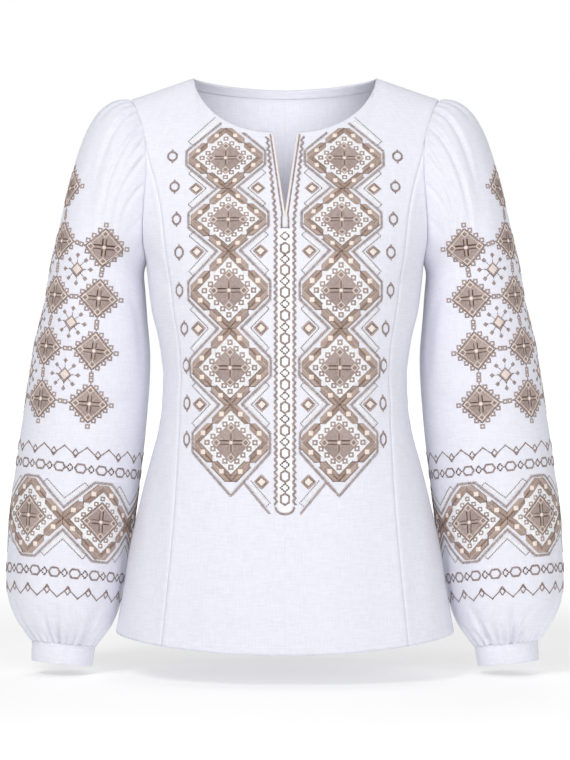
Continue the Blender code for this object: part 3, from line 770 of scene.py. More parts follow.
def sleeve_frame(z):
    """The middle of a sleeve's section and its outward and forward directions, left sleeve."""
    z = np.asarray(z, float)
    tip_out, tip_forward = np.radians(sleeve_read["tip_out"](z)), np.radians(sleeve_read["tip_forward"](z))
    middle = np.stack([sleeve_read["x"](z), sleeve_read["y"](z), z], axis=-1)
    outward = np.stack([np.cos(tip_out), 0 * z, np.sin(tip_out)], axis=-1)
    forward = np.stack([0 * z, -np.cos(tip_forward), np.sin(tip_forward)], axis=-1)
    return middle, outward, forward


def section_point(turn, z):
    """turn is 0 outwards, 90 in front and 180 at the body, in degrees."""
    middle, outward, forward = sleeve_frame(z)
    angle = np.radians(turn)
    along_out = (np.cos(angle) * sleeve_read["half_width"](z))[..., None]
    along_front = (np.sin(angle) * sleeve_read["half_depth"](z))[..., None]
    return middle + outward * along_out + forward * along_front


def armhole_point(turn):
    top = ARMHOLE[0]["z"]
    turn = np.asarray(turn, float) % 360
    z = (top + UNDERARM) / 2 + (top - UNDERARM) / 2 * np.cos(np.radians(turn))
    front = body_point(armhole_x["front"](z), z, "front")
    back = body_point(armhole_x["back"](z), z, "back")
    at = np.where((turn <= 180)[..., None], front, back)
    at[..., 1] *= np.minimum(1.0, np.abs(np.sin(np.radians(turn))) * 40)
    return at


def cap_point(turn, share):
    """A point of the cap, share of the way from the armhole down to the first section."""
    turn = np.asarray(turn, float) % 360
    start, end = armhole_point(turn), section_point(turn, np.full_like(turn, SLEEVE_TOP))
    read = {key: cap_read[key](turn) for key in cap_read}
    leave = np.stack([read["out"], -read["forward"], read["up"]], axis=-1)
    start = start + unit(leave) * CAP_STARTS_OFF
    upper = start + leave
    lower = end + np.stack([-read["lower_in"], -read["lower_forward"], read["lower_up"]], axis=-1)
    rest, share = (np.broadcast_to(part, turn.shape)[..., None] for part in (1 - share, share))
    return rest**3 * start + 3 * rest**2 * share * upper + 3 * rest * share**2 * lower + share**3 * end


def gathers(table, turn, reached, per_degree, steep):
    """The lift that a row of gathers gives each place: valleys between soft shoulders, by the seam.

    steep is 1 or -1, the side on which each valley's wall is the steeper.
    """
    lift = np.zeros(turn.shape)
    for valley in table:
        share = np.clip(reached / valley["length"], 0, 1)
        away = (turn - valley["turn"] - valley["lean"] * share + 180) % 360 - 180
        across = away * per_degree / (valley["width"] * (0.8 + 1.1 * share))
        across *= np.where(across * steep > 0, 1.6, 0.8)
        depth = valley["depth"] * (1 - share) ** 0.9 * (0.4 + 0.6 * np.minimum(1, reached / 7))
        lift += depth * (0.45 * np.exp(-((across / 2.2) ** 2)) - 1.3 * np.exp(-(across**2)))
    return lift


def within_sleeve(points, v):
    """A place in the sleeve's hollow for each point of its grid, whose rows have the heights v."""
    rows = sleeve_frame(np.minimum(v, SLEEVE_TOP))[0][:, None]
    middle = np.broadcast_to(rows, points.shape).copy()
    middle[..., 2] = np.minimum(points[..., 2], CAP_MIDDLE_TOP)
    return middle


def sleeve_grid():
    """The finished outside of the left sleeve, its columns counted forwards from the seam at the body."""
    turns = np.arange(0, 360, 0.5)
    shares = np.concatenate([[0, 0.008, 0.018], np.linspace(0.034, 1, CAP_ROWS - 3, endpoint=False)])
    levels = np.arange(SLEEVE_TOP, CUFF_ROWS_FROM, -ROW_SPACING)
    levels = np.concatenate([levels, np.linspace(CUFF_ROWS_FROM, SLEEVE_END, CUFF_ROWS)])
    centre_height = [cap_point(np.array([CAP_CENTRE_TURN]), share)[0, 2] for share in (*shares, 1.0)]
    v = np.concatenate([np.array(centre_height[:-1]) - centre_height[-1] + SLEEVE_TOP, levels])
    rows, turn_rows, round_rows, centre_rows = [], [], [], []
    run = SLEEVE_SEAM_AT + np.append(turns, 360.0)
    for i, height in enumerate(v):
        if i < len(shares):
            points = cap_point(run, shares[i])
        else:
            points = section_point(run, np.full(run.shape, levels[i - len(shares)]))
        arc = lengths(points, 0)
        even = np.linspace(0, arc[-1], SLEEVE_COLUMNS + 1)
        rows.append(np.stack([np.interp(even, arc, points[:, k]) for k in range(3)], axis=-1))
        turn_rows.append(np.interp(even, arc, run))
        round_rows.append(arc[-1])
        centre_rows.append(np.interp(float(centre_turn(height)) + 360, run, arc))
    points, turn, around = np.array(rows), np.array(turn_rows) % 360, np.array(round_rows)
    down = lengths(points, 0)
    a = np.linspace(0, 1, SLEEVE_COLUMNS + 1) * around[:, None] - np.array(centre_rows)[:, None]
    per_degree = around[:, None] / 360
    lift = gathers(CAP_GATHERS, turn, down, per_degree, -1)
    lift += gathers(CUFF_GATHERS, turn, down[-1:] - down, per_degree * 0.9, 1)
    lift += creases(SLEEVE_FOLDS, a, np.broadcast_to(v[:, None], a.shape))
    seam = (turn - SLEEVE_SEAM_AT) * per_degree
    lift -= SLEEVE_SEAM_DEPTH * np.exp(-((seam / SLEEVE_SEAM_WIDTH) ** 2))
    normals = grid_normals(points)
    normals = normals * np.sign(np.sum(normals * (points - within_sleeve(points, v))))
    fall = unit(np.cross(*sleeve_frame(SLEEVE_END)[:0:-1]))
    end = normals[-1]
    normals[-1] = end - (end @ fall)[:, None] * fall
    return points + normals * lift[..., None], v, a, down


sleeve_points, sleeve_v, sleeve_a, sleeve_down = sleeve_grid()


def sleeve_with_allowance():
    """The sleeve's outside with its top edge turned in under the body's edge."""
    edge = sleeve_points[0]
    steps = np.linspace(0, 360, 1441)
    arc = lengths(cap_point(SLEEVE_SEAM_AT + steps, 0.0), 0)
    even = np.linspace(0, arc[-1], SLEEVE_COLUMNS + 1)
    seam = armhole_point(SLEEVE_SEAM_AT + np.interp(even, arc, steps))
    inward = unit(ALLOWANCE_RUNS_TO - seam)
    under = seam + inward * ALLOWANCE_STARTS
    tucked = under + inward * ALLOWANCE_WIDTH + ALLOWANCE_SET_IN
    return np.concatenate([[tucked, under, edge * 0.55 + under * 0.45], sleeve_points])


def make_sleeves():
    outside = sleeve_with_allowance()
    extra = len(outside) - len(sleeve_points)
    grain = np.stack([sleeve_a, sleeve_down[-1:] - sleeve_down], axis=-1)
    grain = np.concatenate([grain[:1] + (0, 4.0 - 1.3 * i) for i in range(extra)] + [grain])
    middle = within_sleeve(outside, np.concatenate([[SLEEVE_TOP] * extra, sleeve_v]))
    made = []
    for side_name, flip in SIDES:
        name, turned = f"sleeve_cloth_{side_name}", np.array([flip, 1, 1])
        made.append(cloth(name, outside * turned, middle * turned, grain, CLOTH, [f"sleeve_{side_name}"]))
    return made


sleeve_cloths = make_sleeves()

# ------------------------------------------------------------------ the cuffs
# A band of doubled linen with turned edges, stitched along both, that laps over at the back. One flat
# four-hole button is sewn on through the lap's buttonhole.

CUFF_HALF_WIDTH = 36.2
CUFF_HALF_DEPTH = 30.4
CUFF_HEIGHT = 23.0
CUFF_TAPER = 0.96
CUFF_OPENS_AT = 262.0
CUFF_OVERLAP = 34.0
CUFF_THICKNESS = 2.0
CUFF_SEAM_GAP = -0.8
CUFF_LAP_LIFT = 2.4
CUFF_LAP_FROM = 26
CUFF_LAP_RISE = 20
CUFF_COLUMNS = 200
CUFF_STITCHED_IN = 1.9
CUFF_GROOVE = 0.3
BUTTON_HOLE_RADIUS = 0.65
BUTTON_HOLE_SPREAD = 1.35
BUTTON_COLOUR = (0.80, 0.77, 0.71)
BUTTON_SHADE = (0.70, 0.66, 0.60)
BUTTON_SIDES = 48
HOLE_SIDES = 12
HOLE_HEIGHTS = (1.5, 0.5)
BUTTON_PROUD = 0.75
BUTTON_PROFILE = (
    (4.0, 0.0), (4.7, 0.35), (5.0, 1.1), (4.75, 1.9), (4.2, 2.2), (3.6, 2.0), (3.1, 1.55),
)


def cuff_point(turn, down, out):
    middle, outward, forward = sleeve_frame(SLEEVE_END)
    fall = np.cross(forward, outward)
    fall = unit(fall) * (-1 if fall[2] > 0 else 1)
    turn, down, out = (np.asarray(value, float)[..., None] for value in (turn, down, out))
    scale = 1 - (1 - CUFF_TAPER) * down / CUFF_HEIGHT
    angle = np.radians(turn)
    flat = outward * np.cos(angle) * (CUFF_HALF_WIDTH * scale + out)
    flat = flat + forward * np.sin(angle) * (CUFF_HALF_DEPTH * scale + out)
    return middle + fall * (CUFF_SEAM_GAP + down) + flat


def cuff_lap(turns):
    """How far the band rises, where it comes round to its start again, to lap over it."""
    rise = np.clip((turns - (CUFF_OPENS_AT + 360 - CUFF_LAP_FROM)) / CUFF_LAP_RISE, 0, 1)
    return CUFF_LAP_LIFT * rise * rise * (3 - 2 * rise)


def cuff_profile():
    """The band's section as (down, out), a closed loop with rounded edges and stitched grooves."""
    half = CUFF_THICKNESS / 2
    loop = []

    def rounded(start, down):
        for angle in np.linspace(start, start + 180, 7):
            across, out = math.cos(math.radians(angle)), math.sin(math.radians(angle))
            loop.append((down + half * across, -half - half * out))

    rounded(-90, CUFF_HEIGHT - half)
    loop += [(down, -CUFF_THICKNESS) for down in np.linspace(CUFF_HEIGHT - 3, 3, 6)]
    rounded(90, half)
    outside = [1.5, 1.9, 2.3, 3.0, 5.0, 8.0, 11.5, 15.0, 18.0, 20.0, 20.7, 21.1, 21.5]
    for down in outside:
        from_edge = min(down, CUFF_HEIGHT - down)
        loop.append((down, -CUFF_GROOVE * (abs(from_edge - CUFF_STITCHED_IN) < 0.2)))
    return np.array(loop)


def make_cuffs():
    """The bands, rippled under the gathers at their top and waved a little round their middle."""
    profile = cuff_profile()
    turns = np.linspace(CUFF_OPENS_AT, CUFF_OPENS_AT + 360 + CUFF_OVERLAP, CUFF_COLUMNS)
    lap = cuff_lap(turns)
    ripple = 0.28 * np.sin(np.radians(turns * 9 + 30)) + 0.2 * np.sin(np.radians(turns * 17))
    wave = np.sin(np.radians(turns * 2.5 + 60))
    down, out = np.broadcast_arrays(profile[:, :1], profile[:, 1:] + lap)
    out = out + ripple * np.exp(-down / 6) * 0.8 - 0.35 * np.exp(-(((down - 12.5) / 2.6) ** 2)) * wave
    ring = cuff_point(np.broadcast_to(turns, down.shape), down, out)
    rows, columns = down.shape
    index = np.arange(rows * columns).reshape(rows, columns)
    index = np.concatenate([index, index[:1]])
    along = np.radians(turns) * (CUFF_HALF_WIDTH + CUFF_HALF_DEPTH) / 2
    grain = np.stack([np.broadcast_to(along, down.shape), down + out * 0.5], axis=-1).reshape(-1, 2) * MM
    faces = quads(index).tolist() + [tuple(index[:-1, k]) for k in (0, -1)]
    for side_name, flip in SIDES:
        name, points = f"cuff_cloth_{side_name}", ring.reshape(-1, 3) * (flip, 1, 1)
        cuff = finished(name, points, faces, grain, linen, "white_linen", [f"cuff_{side_name}"])


make_cuffs()


def button_finish():
    finish = Finish("shell_button", Roughness=0.28, Coat_Weight=0.3, Specular_IOR_Level=0.6)
    at = finish.node("ShaderNodeTexCoord", output=3)
    clouds = finish.noise(at, 260.0, 3.0, 0.5)
    colour = finish.mixed(clouds.between(0.35, 0.65), (*BUTTON_SHADE, 1), (*BUTTON_COLOUR, 1))
    finish.give(Base_Color=colour)
    return finish.material


def button_frame():
    """The button's centre on the cuff's outside and its along, up and out directions, left cuff."""
    turn, down = CUFF_OPENS_AT + CUFF_OVERLAP / 2, CUFF_HEIGHT / 2
    centre = cuff_point(turn, down, CUFF_LAP_LIFT)
    along = unit(cuff_point(turn + 4, down, CUFF_LAP_LIFT) - cuff_point(turn - 4, down, CUFF_LAP_LIFT))
    up = unit(cuff_point(turn, down - 3, CUFF_LAP_LIFT) - cuff_point(turn, down + 3, CUFF_LAP_LIFT))
    out = np.cross(along, up)
    return centre, along, up, out * np.sign(out @ (centre - cuff_point(turn, down, -20)))


def button_mesh():
    """A disc with a rounded rim, a sunk middle and four holes, as its points and faces."""
    made = bmesh.new()

    def ring(sides, radius, height, x=0.0, y=0.0):
        angles = [2 * math.pi * i / sides for i in range(sides)]
        places = [(x + radius * math.cos(angle), y + radius * math.sin(angle), height) for angle in angles]
        return [made.verts.new(place) for place in places]

    def wall(low, high):
        for i in range(len(low)):
            k = (i + 1) % len(low)
            made.faces.new((low[i], low[k], high[k], high[i]))

    def rim(ring):
        return [made.edges.get((ring[i], ring[(i + 1) % len(ring)])) for i in range(len(ring))]

    rings = [ring(BUTTON_SIDES, radius, height) for radius, height in BUTTON_PROFILE]
    for low, high in zip(rings, rings[1:]):
        wall(low, high)
    made.faces.new(rings[0][::-1])
    edges = rim(rings[-1])
    for x, y in ((-1, -1), (-1, 1), (1, -1), (1, 1)):
        high, low = (
            ring(HOLE_SIDES, BUTTON_HOLE_RADIUS, height, BUTTON_HOLE_SPREAD * x, BUTTON_HOLE_SPREAD * y)
            for height in HOLE_HEIGHTS
        )
        wall(high, low)
        made.faces.new(low)
        edges += rim(high)
    bmesh.ops.triangle_fill(made, edges=edges, use_beauty=True)
    bmesh.ops.recalc_face_normals(made, faces=made.faces)
    points = np.array([vert.co for vert in made.verts])
    faces = [[vert.index for vert in face.verts] for face in made.faces]
    made.free()
    return points, faces


def make_buttons():
    shell = button_finish()
    points, faces = button_mesh()
    centre, along, up, out = button_frame()
    placed = centre + out * BUTTON_PROUD + points[:, :1] * along + points[:, 1:2] * up + points[:, 2:] * out
    for side_name, flip in SIDES:
        name, node = f"button_{side_name}", f"cuff_button_{side_name}"
        grain = points[:, :2] * MM
        piece = finished(name, placed * (flip, 1, 1), faces, grain, shell, "shell_button", [node])
        piece.data.set_sharp_from_angle(angle=math.radians(40))


make_buttons()

# ------------------------------------------------------------------ the threads
# Stranded cotton. Filled shapes are raised satin stitch, a few tenths of a millimetre proud of the linen,
# and every line, ring and zigzag is a run of separate slanted stitches.

# Each thread's light and dark colour, mixed by a number on each point: at random from stitch to stitch, and
# on satin patches chosen shape by shape as painted sheen and shade, as the threads' direction would catch
# the light.
THREADS = table(
    "name light dark slot",
    ("taupe", (0.475, 0.36, 0.31), (0.21, 0.14, 0.108), "taupe_thread"),
    ("brown", (0.21, 0.13, 0.095), (0.055, 0.031, 0.022), "brown_thread"),
    ("cream", (0.90, 0.80, 0.73), (0.78, 0.66, 0.59), "cream_thread"),
    ("ash", (0.47, 0.375, 0.35), (0.25, 0.185, 0.168), "taupe_thread"),
    ("white", (0.93, 0.93, 0.94), (0.76, 0.76, 0.80), "white_linen"),
)
SATIN_THREADS_PER_METRE = 2100.0
PATCH_EDGE = 0.5
PATCH_STEP = 4.5
PATCH_SUNK = 0.2
STITCH_SIDES = 4
STITCH_RINGS = 3
STITCHES = table(
    "kind spacing length width height slant thread dark",
    ("outline", 1.9, 4.5, 1.5, 0.95, 58, "ash", 0), ("thick", 1.6, 3.7, 1.8, 0.9, 50, "ash", 0),
    ("edge", 1.5, 2.9, 1.5, 0.8, 46, "ash", 0), ("ring", 1.8, 3.1, 2.2, 0.9, 30, "ash", 0.3),
    ("eye", 1.7, 3.0, 2.6, 0.9, 34, "ash", 0.3), ("zigzag", 1.9, 2.6, 1.4, 0.8, 28, "taupe", 0.35),
    ("dash", 2.3, 2.0, 1.2, 0.7, 24, "brown", 0), ("dot", 2.5, 2.4, 2.0, 0.8, 30, "brown", 0),
    ("line", 2.3, 3.3, 0.85, 0.7, 8, "brown", 0), ("pale", 2.3, 3.1, 0.75, 0.7, 12, "cream", 0),
    ("white", 2.8, 3.7, 1.5, 0.8, 14, "white", 0), ("rib", 1.5, 4.4, 1.15, 0.8, 90, "white", 0),
    ("topstitch", 3.1, 2.6, 0.5, 0.4, 3, "white", 0), ("buttonhole", 0.75, 1.7, 0.6, 0.5, 84, "white", 0),
)
STITCHES = {row["kind"]: row for row in STITCHES}
SLANT_SPREAD = 7
SIZE_SPREAD = 0.09


def thread_finish(name, light, dark):
    """Cotton thread: fine strands along V where there is a grain, and a slow change of colour from place to
    place.
    Its colour runs from light to dark with a number on each point: at random for stitches, and on satin
    patches painted sheen and shade.
    """
    finish = Finish(name, Specular_IOR_Level=0.35, Sheen_Weight=0.1, Sheen_Roughness=0.4)
    grain = finish.node("ShaderNodeUVMap", {"uv_map": "grain"})
    across = finish.node("ShaderNodeSeparateXYZ", {}, {"Vector": grain})
    strand = across.maths("SINE", across * (2 * math.pi * SATIN_THREADS_PER_METRE))
    streak = finish.noise(finish.stretched(grain, (1600.0, 60.0, 1)), 1.0, 2.0, 0.6)
    place = finish.node("ShaderNodeTexCoord", output=3)
    worn = finish.noise(place, 420.0, 2.0, 0.6)
    tone_and_sheen = finish.node("ShaderNodeAttribute", {"attribute_name": "tone_and_sheen"}, output=2)
    share = tone_and_sheen + (streak.between(0.3, 0.7) - 0.5) * 0.42 + (worn.between(0.3, 0.7) - 0.5) * 0.36
    finish.give(
        Base_Color=finish.mixed(share, (*light, 1), (*dark, 1)),
        Roughness=0.62 - 0.14 * streak,
        Normal=finish.bump(strand * 0.5 + streak * 0.5, 0.5, 0.0002),
    )
    return finish.material


threads = {
    row["name"]: thread_finish(row["name"] + "_thread", row["light"], row["dark"]) for row in THREADS
}
thread_slots = {row["name"]: row["slot"] for row in THREADS}


class Pattern:
    """Satin patches and stitch runs drawn flat, in millimetres, before they are laid on the cloth."""

    def __init__(self):
        self.patches = []
        self.runs = []

    def patch(self, thread, corners, height=0.45, tone_and_sheen=0.5, turn=0.0):
        """A filled shape with four corners. turn is the direction of its threads, in degrees. How dark it
        is, from its thread's light colour at 0 to the dark one at 1, is partly painted sheen and shade for
        that direction.
        """
        shape = dict(corners=np.array(corners, float), inner=None)
        self.patches.append(dict(thread=thread, height=height, tone_and_sheen=tone_and_sheen, turn=turn, **shape))

    def frame(self, thread, outer, inner, height=0.45, tone_and_sheen=0.5):
        """A filled band between two closed outlines that have as many corners as each other."""
        shape = dict(corners=np.array(outer, float), inner=np.array(inner, float))
        self.patches.append(dict(thread=thread, height=height, tone_and_sheen=tone_and_sheen, turn=45, **shape))

    def run(self, kind, points, closed=False, lift=0.0):
        """A line of stitches through the points. lift raises it over a patch."""
        self.runs.append(dict(kind=kind, points=np.array(points, float), closed=closed, lift=lift))

    def ring(self, kind, centre, across, up, corners=10, lift=0.0):
        angles = np.linspace(0, 2 * math.pi, corners, endpoint=False) + math.pi / corners
        points = np.stack([centre[0] + across * np.cos(angles), centre[1] + up * np.sin(angles)], axis=-1)
        self.run(kind, points, closed=True, lift=lift)

    def add(self, other, move=lambda points: points):
        """Everything of another pattern, its points changed by move."""
        for patch in other.patches:
            inner = None if patch["inner"] is None else move(patch["inner"])
            self.patches.append({**patch, "corners": move(patch["corners"]), "inner": inner})
        for run in other.runs:
            self.runs.append({**run, "points": move(run["points"])})


def diamond(centre, across, up=None):
    up = across if up is None else up
    x, y = centre
    return [(x - across, y), (x, y - up), (x + across, y), (x, y + up)]


def square(centre, half):
    x, y = centre
    return [(x - half, y - half), (x + half, y - half), (x + half, y + half), (x - half, y + half)]


def spaced(points, step, closed=False):
    """The line through the points with none of its parts longer than step."""
    ends = np.concatenate([points, points[:1]]) if closed else points
    parts = []
    for a, b in zip(ends, ends[1:]):
        count = max(1, math.ceil(np.linalg.norm(b - a) / step))
        parts.append(a + (b - a) * np.linspace(0, 1, count, endpoint=False)[:, None])
    return np.concatenate(parts if closed else parts + [ends[-1:]])


def shares_across(length):
    """Shares of a patch's side, with one close to each end, and how high the patch stands at each."""
    edge = min(0.3, PATCH_EDGE / length)
    count = max(1, math.ceil(length * (1 - 2 * edge) / PATCH_STEP))
    inner = np.linspace(edge, 1 - edge, count + 1)
    height = 0.8 + 0.2 * np.sin(np.pi * (inner - edge) / (1 - 2 * edge))
    return np.concatenate([[0], inner, [1]]), np.concatenate([[0], height, [0]])


def patch_grid(patch):
    """A patch's places in rows and columns, and what share of its height each stands at."""
    c = patch["corners"]
    if patch["inner"] is not None:
        outer, inner = np.concatenate([c, c[:1]]), np.concatenate([patch["inner"], patch["inner"][:1]])
        shares = np.array([0, 0.3, 0.7, 1])[:, None, None]
        rise = np.array([0, 1, 1, 0])[:, None] * np.ones(len(outer))
        return outer * (1 - shares) + inner * shares, rise
    long_s = max(np.linalg.norm(c[1] - c[0]), np.linalg.norm(c[2] - c[3]))
    long_t = max(np.linalg.norm(c[3] - c[0]), np.linalg.norm(c[2] - c[1]))
    (s, rise_s), (t, rise_t) = shares_across(long_s), shares_across(long_t)
    s, t = s[None, :, None], t[:, None, None]
    places = (c[0] * (1 - s) + c[1] * s) * (1 - t) + (c[3] * (1 - s) + c[2] * s) * t
    return places, rise_s[None, :] * rise_t[:, None]


def satin_mesh(patches, on_cloth):
    """The points, faces, grain and darkness of satin patches laid by on_cloth; the darkness holds painted
    sheen and shade.
    """
    places, rises, faces, grain, tones_and_sheen = [], [], [], [], []
    start = 0
    for patch in patches:
        at, shares = patch_grid(patch)
        rise = shares * (patch["height"] + PATCH_SUNK) - PATCH_SUNK
        rows, columns = rise.shape
        index = start + np.arange(rows * columns).reshape(rows, columns)
        angle = math.radians(patch["turn"])
        turned = np.array([[math.sin(angle), math.cos(angle)], [-math.cos(angle), math.sin(angle)]])
        places.append(at.reshape(-1, 2))
        rises.append(rise.reshape(-1))
        faces.append(quads(index))
        grain.append(at.reshape(-1, 2) @ turned)
        tones_and_sheen.append(np.full(rows * columns, patch["tone_and_sheen"]))
        start += rows * columns
    places, rises, faces = np.concatenate(places), np.concatenate(rises), np.concatenate(faces)
    points, normals = on_cloth(places)
    points = points + normals * rises[:, None]
    first, second, third = (points[faces[:, k]] for k in range(3))
    out = np.sum(np.cross(second - first, third - first) * normals[faces[:, 0]], axis=1)
    faces = np.where(out[:, None] < 0, faces[:, ::-1], faces)
    return points, faces, np.concatenate(grain) * MM, np.concatenate(tones_and_sheen)


def stitch_tree():
    """A node tree that lays stitches of one kind along a mesh's edges, upright on its "up" attribute."""
    tree = bpy.data.node_groups.new("stitch_run", "GeometryNodeTree")
    floats = ("Spacing", "Length", "Width", "Height", "Slant", "Slant Spread", "Size Spread")
    sockets = [("Lines", "Geometry"), *((name, "Float") for name in floats)]
    for name, kind in (*sockets, ("Seed", "Int"), ("Thread", "Material")):
        tree.interface.new_socket(name, in_out="INPUT", socket_type="NodeSocket" + kind)
    tree.interface.new_socket("Stitches", in_out="OUTPUT", socket_type="NodeSocketGeometry")
    given = tree.nodes.new("NodeGroupInput").outputs

    def node(kind, values=None, **settings):
        """The output of a new node, its inputs given values or joined to other nodes' outputs."""
        made = tree.nodes.new(kind)
        for key, value in settings.items():
            setattr(made, key, value)
        for key, value in (values or {}).items():
            if isinstance(value, bpy.types.NodeSocket):
                tree.links.new(value, made.inputs[key])
            else:
                made.inputs[key].default_value = value
        return next(socket for socket in made.outputs if socket.enabled)

    def maths(operation, first, second):
        return node("ShaderNodeMath", {0: first, 1: second}, operation=operation)

    def chosen(middle, spread):
        """A number for each stitch, no further than spread from the middle."""
        ends = {"Min": maths("SUBTRACT", middle, spread), "Max": maths("ADD", middle, spread)}
        return node("FunctionNodeRandomValue", {**ends, "Seed": given["Seed"]}, data_type="FLOAT")

    curve = node("GeometryNodeMeshToCurve", {"Mesh": given["Lines"]})
    spacing = {"Curve": curve, "Length": given["Spacing"]}
    even = node("GeometryNodeResampleCurve", spacing, mode="LENGTH")
    up = node("GeometryNodeInputNamedAttribute", {"Name": "up"}, data_type="FLOAT_VECTOR")
    axes = {"Primary Axis": up, "Secondary Axis": node("GeometryNodeInputTangent")}
    facing = node("FunctionNodeAxesToRotation", axes, primary_axis="Z", secondary_axis="X")
    slants = chosen(given["Slant"], given["Slant Spread"])
    axis = node("FunctionNodeAxisAngleToRotation", {"Axis": (0, 0, 1), "Angle": slants})
    turns = {"Rotation": facing, "Rotate By": axis}
    turned = node("FunctionNodeRotateRotation", turns, rotation_space="LOCAL")
    sizes = chosen(1.0, given["Size Spread"])
    sides = zip("XYZ", ("Height", "Width", "Length"))
    halves = {axis: maths("MULTIPLY", given[name], 0.5) for axis, name in sides}
    scale = node("ShaderNodeCombineXYZ", halves)
    whole = {"Segments": STITCH_SIDES, "Rings": STITCH_RINGS, "Radius": 1.0}
    ball = node("GeometryNodeMeshUVSphere", whole)
    laid = {"Geometry": ball, "Scale": scale, "Rotation": (0, math.radians(90), 0)}
    grain = node("GeometryNodeTransform", laid)
    places = {"Points": even, "Instance": grain, "Rotation": turned, "Scale": sizes}
    placed = node("GeometryNodeInstanceOnPoints", places)
    real = node("GeometryNodeRealizeInstances", {"Geometry": placed})
    smooth = node("GeometryNodeSetShadeSmooth", {"Geometry": real})
    done = node("GeometryNodeSetMaterial", {"Geometry": smooth, "Material": given["Thread"]})
    tree.links.new(done, tree.nodes.new("NodeGroupOutput").inputs["Stitches"])
    return tree


stitch_group = stitch_tree()


def stitched(name, kind, lines, seed):
    """One mesh of all the stitches of a kind along lines of (points, up directions, closed)."""
    look = STITCHES[kind]
    points, ups, edges = [], [], []
    start = 0
    for at, up, closed in lines:
        index = start + np.arange(len(at))
        edges.append(np.stack([index[:-1], index[1:]], axis=-1))
        if closed:
            edges.append(np.array([[index[-1], index[0]]]))
        points.append(at)
        ups.append(up)
        start += len(at)
    mesh = bpy.data.meshes.new(name)
    mesh.from_pydata((np.concatenate(points) * MM).tolist(), np.concatenate(edges).tolist(), [])
    upright = mesh.attributes.new("up", "FLOAT_VECTOR", "POINT").data
    upright.foreach_set("vector", np.concatenate(ups).reshape(-1))
    guide = added(name + "_lines", mesh)
    modifier = guide.modifiers.new("stitches", "NODES")
    modifier.node_group = stitch_group
    given = {key.capitalize(): look[key] * MM for key in ("spacing", "length", "width", "height")}
    given |= {"Slant": math.radians(look["slant"]), "Slant Spread": math.radians(SLANT_SPREAD)}
    given |= {"Size Spread": SIZE_SPREAD, "Seed": seed, "Thread": threads[look["thread"]]}
    for item in stitch_group.interface.items_tree:
        if item.name in given and item.in_out == "INPUT":
            modifier[item.identifier] = given[item.name]
    ready = guide.evaluated_get(bpy.context.evaluated_depsgraph_get())
    made = bpy.data.meshes.new_from_object(ready)
    made.name = name
    bpy.data.objects.remove(guide)
    bpy.data.meshes.remove(mesh)
    tone_and_sheen = made.attributes.new("tone_and_sheen", "FLOAT", "POINT").data
    each = STITCH_SIDES * (STITCH_RINGS - 1) + 2
    shades = look["dark"] + np.random.default_rng(seed).uniform(0.1, 0.75, len(tone_and_sheen) // each + 1)
    tone_and_sheen.foreach_set("value", np.repeat(shades, each)[: len(tone_and_sheen)])
    return rooted(name, made, thread_slots[look["thread"]])


# The distance between the points of a line of stitches, and the share of their height it is raised by.
STITCH_LINE_STEP = 2.6
STITCH_LINE_RISE = 0.22


def embroidered(name, pattern, on_cloth, seed):
    """Lays a pattern on the cloth: one satin mesh for each thread and one mesh for each kind of stitch."""
    pieces = []
    for thread in threads:
        patches = [patch for patch in pattern.patches if patch["thread"] == thread]
        if not patches:
            continue
        points, faces, grain, tones_and_sheen = satin_mesh(patches, on_cloth)
        mesh = bpy.data.meshes.new(f"{name}_{thread}_satin")
        mesh.from_pydata((points * MM).tolist(), [], faces.tolist())
        corners = np.empty(len(mesh.loops), int)
        mesh.loops.foreach_get("vertex_index", corners)
        mesh.uv_layers.new(name="grain").data.foreach_set("uv", grain[corners].reshape(-1))
        mesh.attributes.new("tone_and_sheen", "FLOAT", "POINT").data.foreach_set("value", tones_and_sheen)
        mesh.shade_smooth()
        mesh.materials.append(threads[thread])
        pieces.append(rooted(mesh.name, mesh, thread_slots[thread]))
    for number, kind in enumerate(STITCHES):
        lines = []
        for run in pattern.runs:
            if run["kind"] != kind:
                continue
            flat = spaced(run["points"], STITCH_LINE_STEP, run["closed"])
            points, normals = on_cloth(flat)
            rise = run["lift"] + STITCHES[kind]["height"] * STITCH_LINE_RISE
            lines.append((points + normals * rise, normals, run["closed"]))
        if lines:
            pieces.append(stitched(f"{name}_{kind}_stitches", kind, lines, seed + number))
    return pieces


# ------------------------------------------------------------------ the front's embroidery
# Five linked rhombs in a column on each side of the slit, each an octagonal outline round a ribbon of
# folded leaves and a small-cross diamond ringed with eyelets. Chevrons and small diamonds fill the
# notches, small rings stand beside each column, and hexagons run down between zigzags below the slit.

RHOMB_HALF = 42.0
LEAF = [(-0.4, 0.4), (6.6, 0.4), (21.6, -14.6), (21.6, -21.6), (14.6, -21.6), (-0.4, -6.6)]
QUADRANTS = ((1, 1), (-1, 1), (-1, -1), (1, -1))
WAYS = ((1, 0), (0, 1), (-1, 0), (0, -1))


def outlines(far, level, meet, first, last):
    """The lines round each kind of rhomb: far out to its sides, and meeting the next one's at meet."""
    left = [(-far, level), (-far, -level), (-meet, -RHOMB_HALF)]
    right = [(far, level), (far, -level), (meet, -RHOMB_HALF)]
    top_left, top_right = (-meet, RHOMB_HALF), (meet, RHOMB_HALF)
    side, up, down, tip = last
    return {
        "first": [[first[0], *left], [first[1], *right]],
        "full": [[top_left, *left], [top_right, *right]],
        "last": [[top_left, (-side, up), (-side, down), (0, tip), (side, down), (side, up), top_right]],
    }


OUTLINES = outlines(45, 10, 13, ((-6, 49), (20, 35)), (43.6, 10.8, -11, -58.4))
INNER_LINES = outlines(43, 8.6, 9.6, ((-6.5, 45), (17, 34.6)), (41.7, 9.2, -9.4, -54.8))
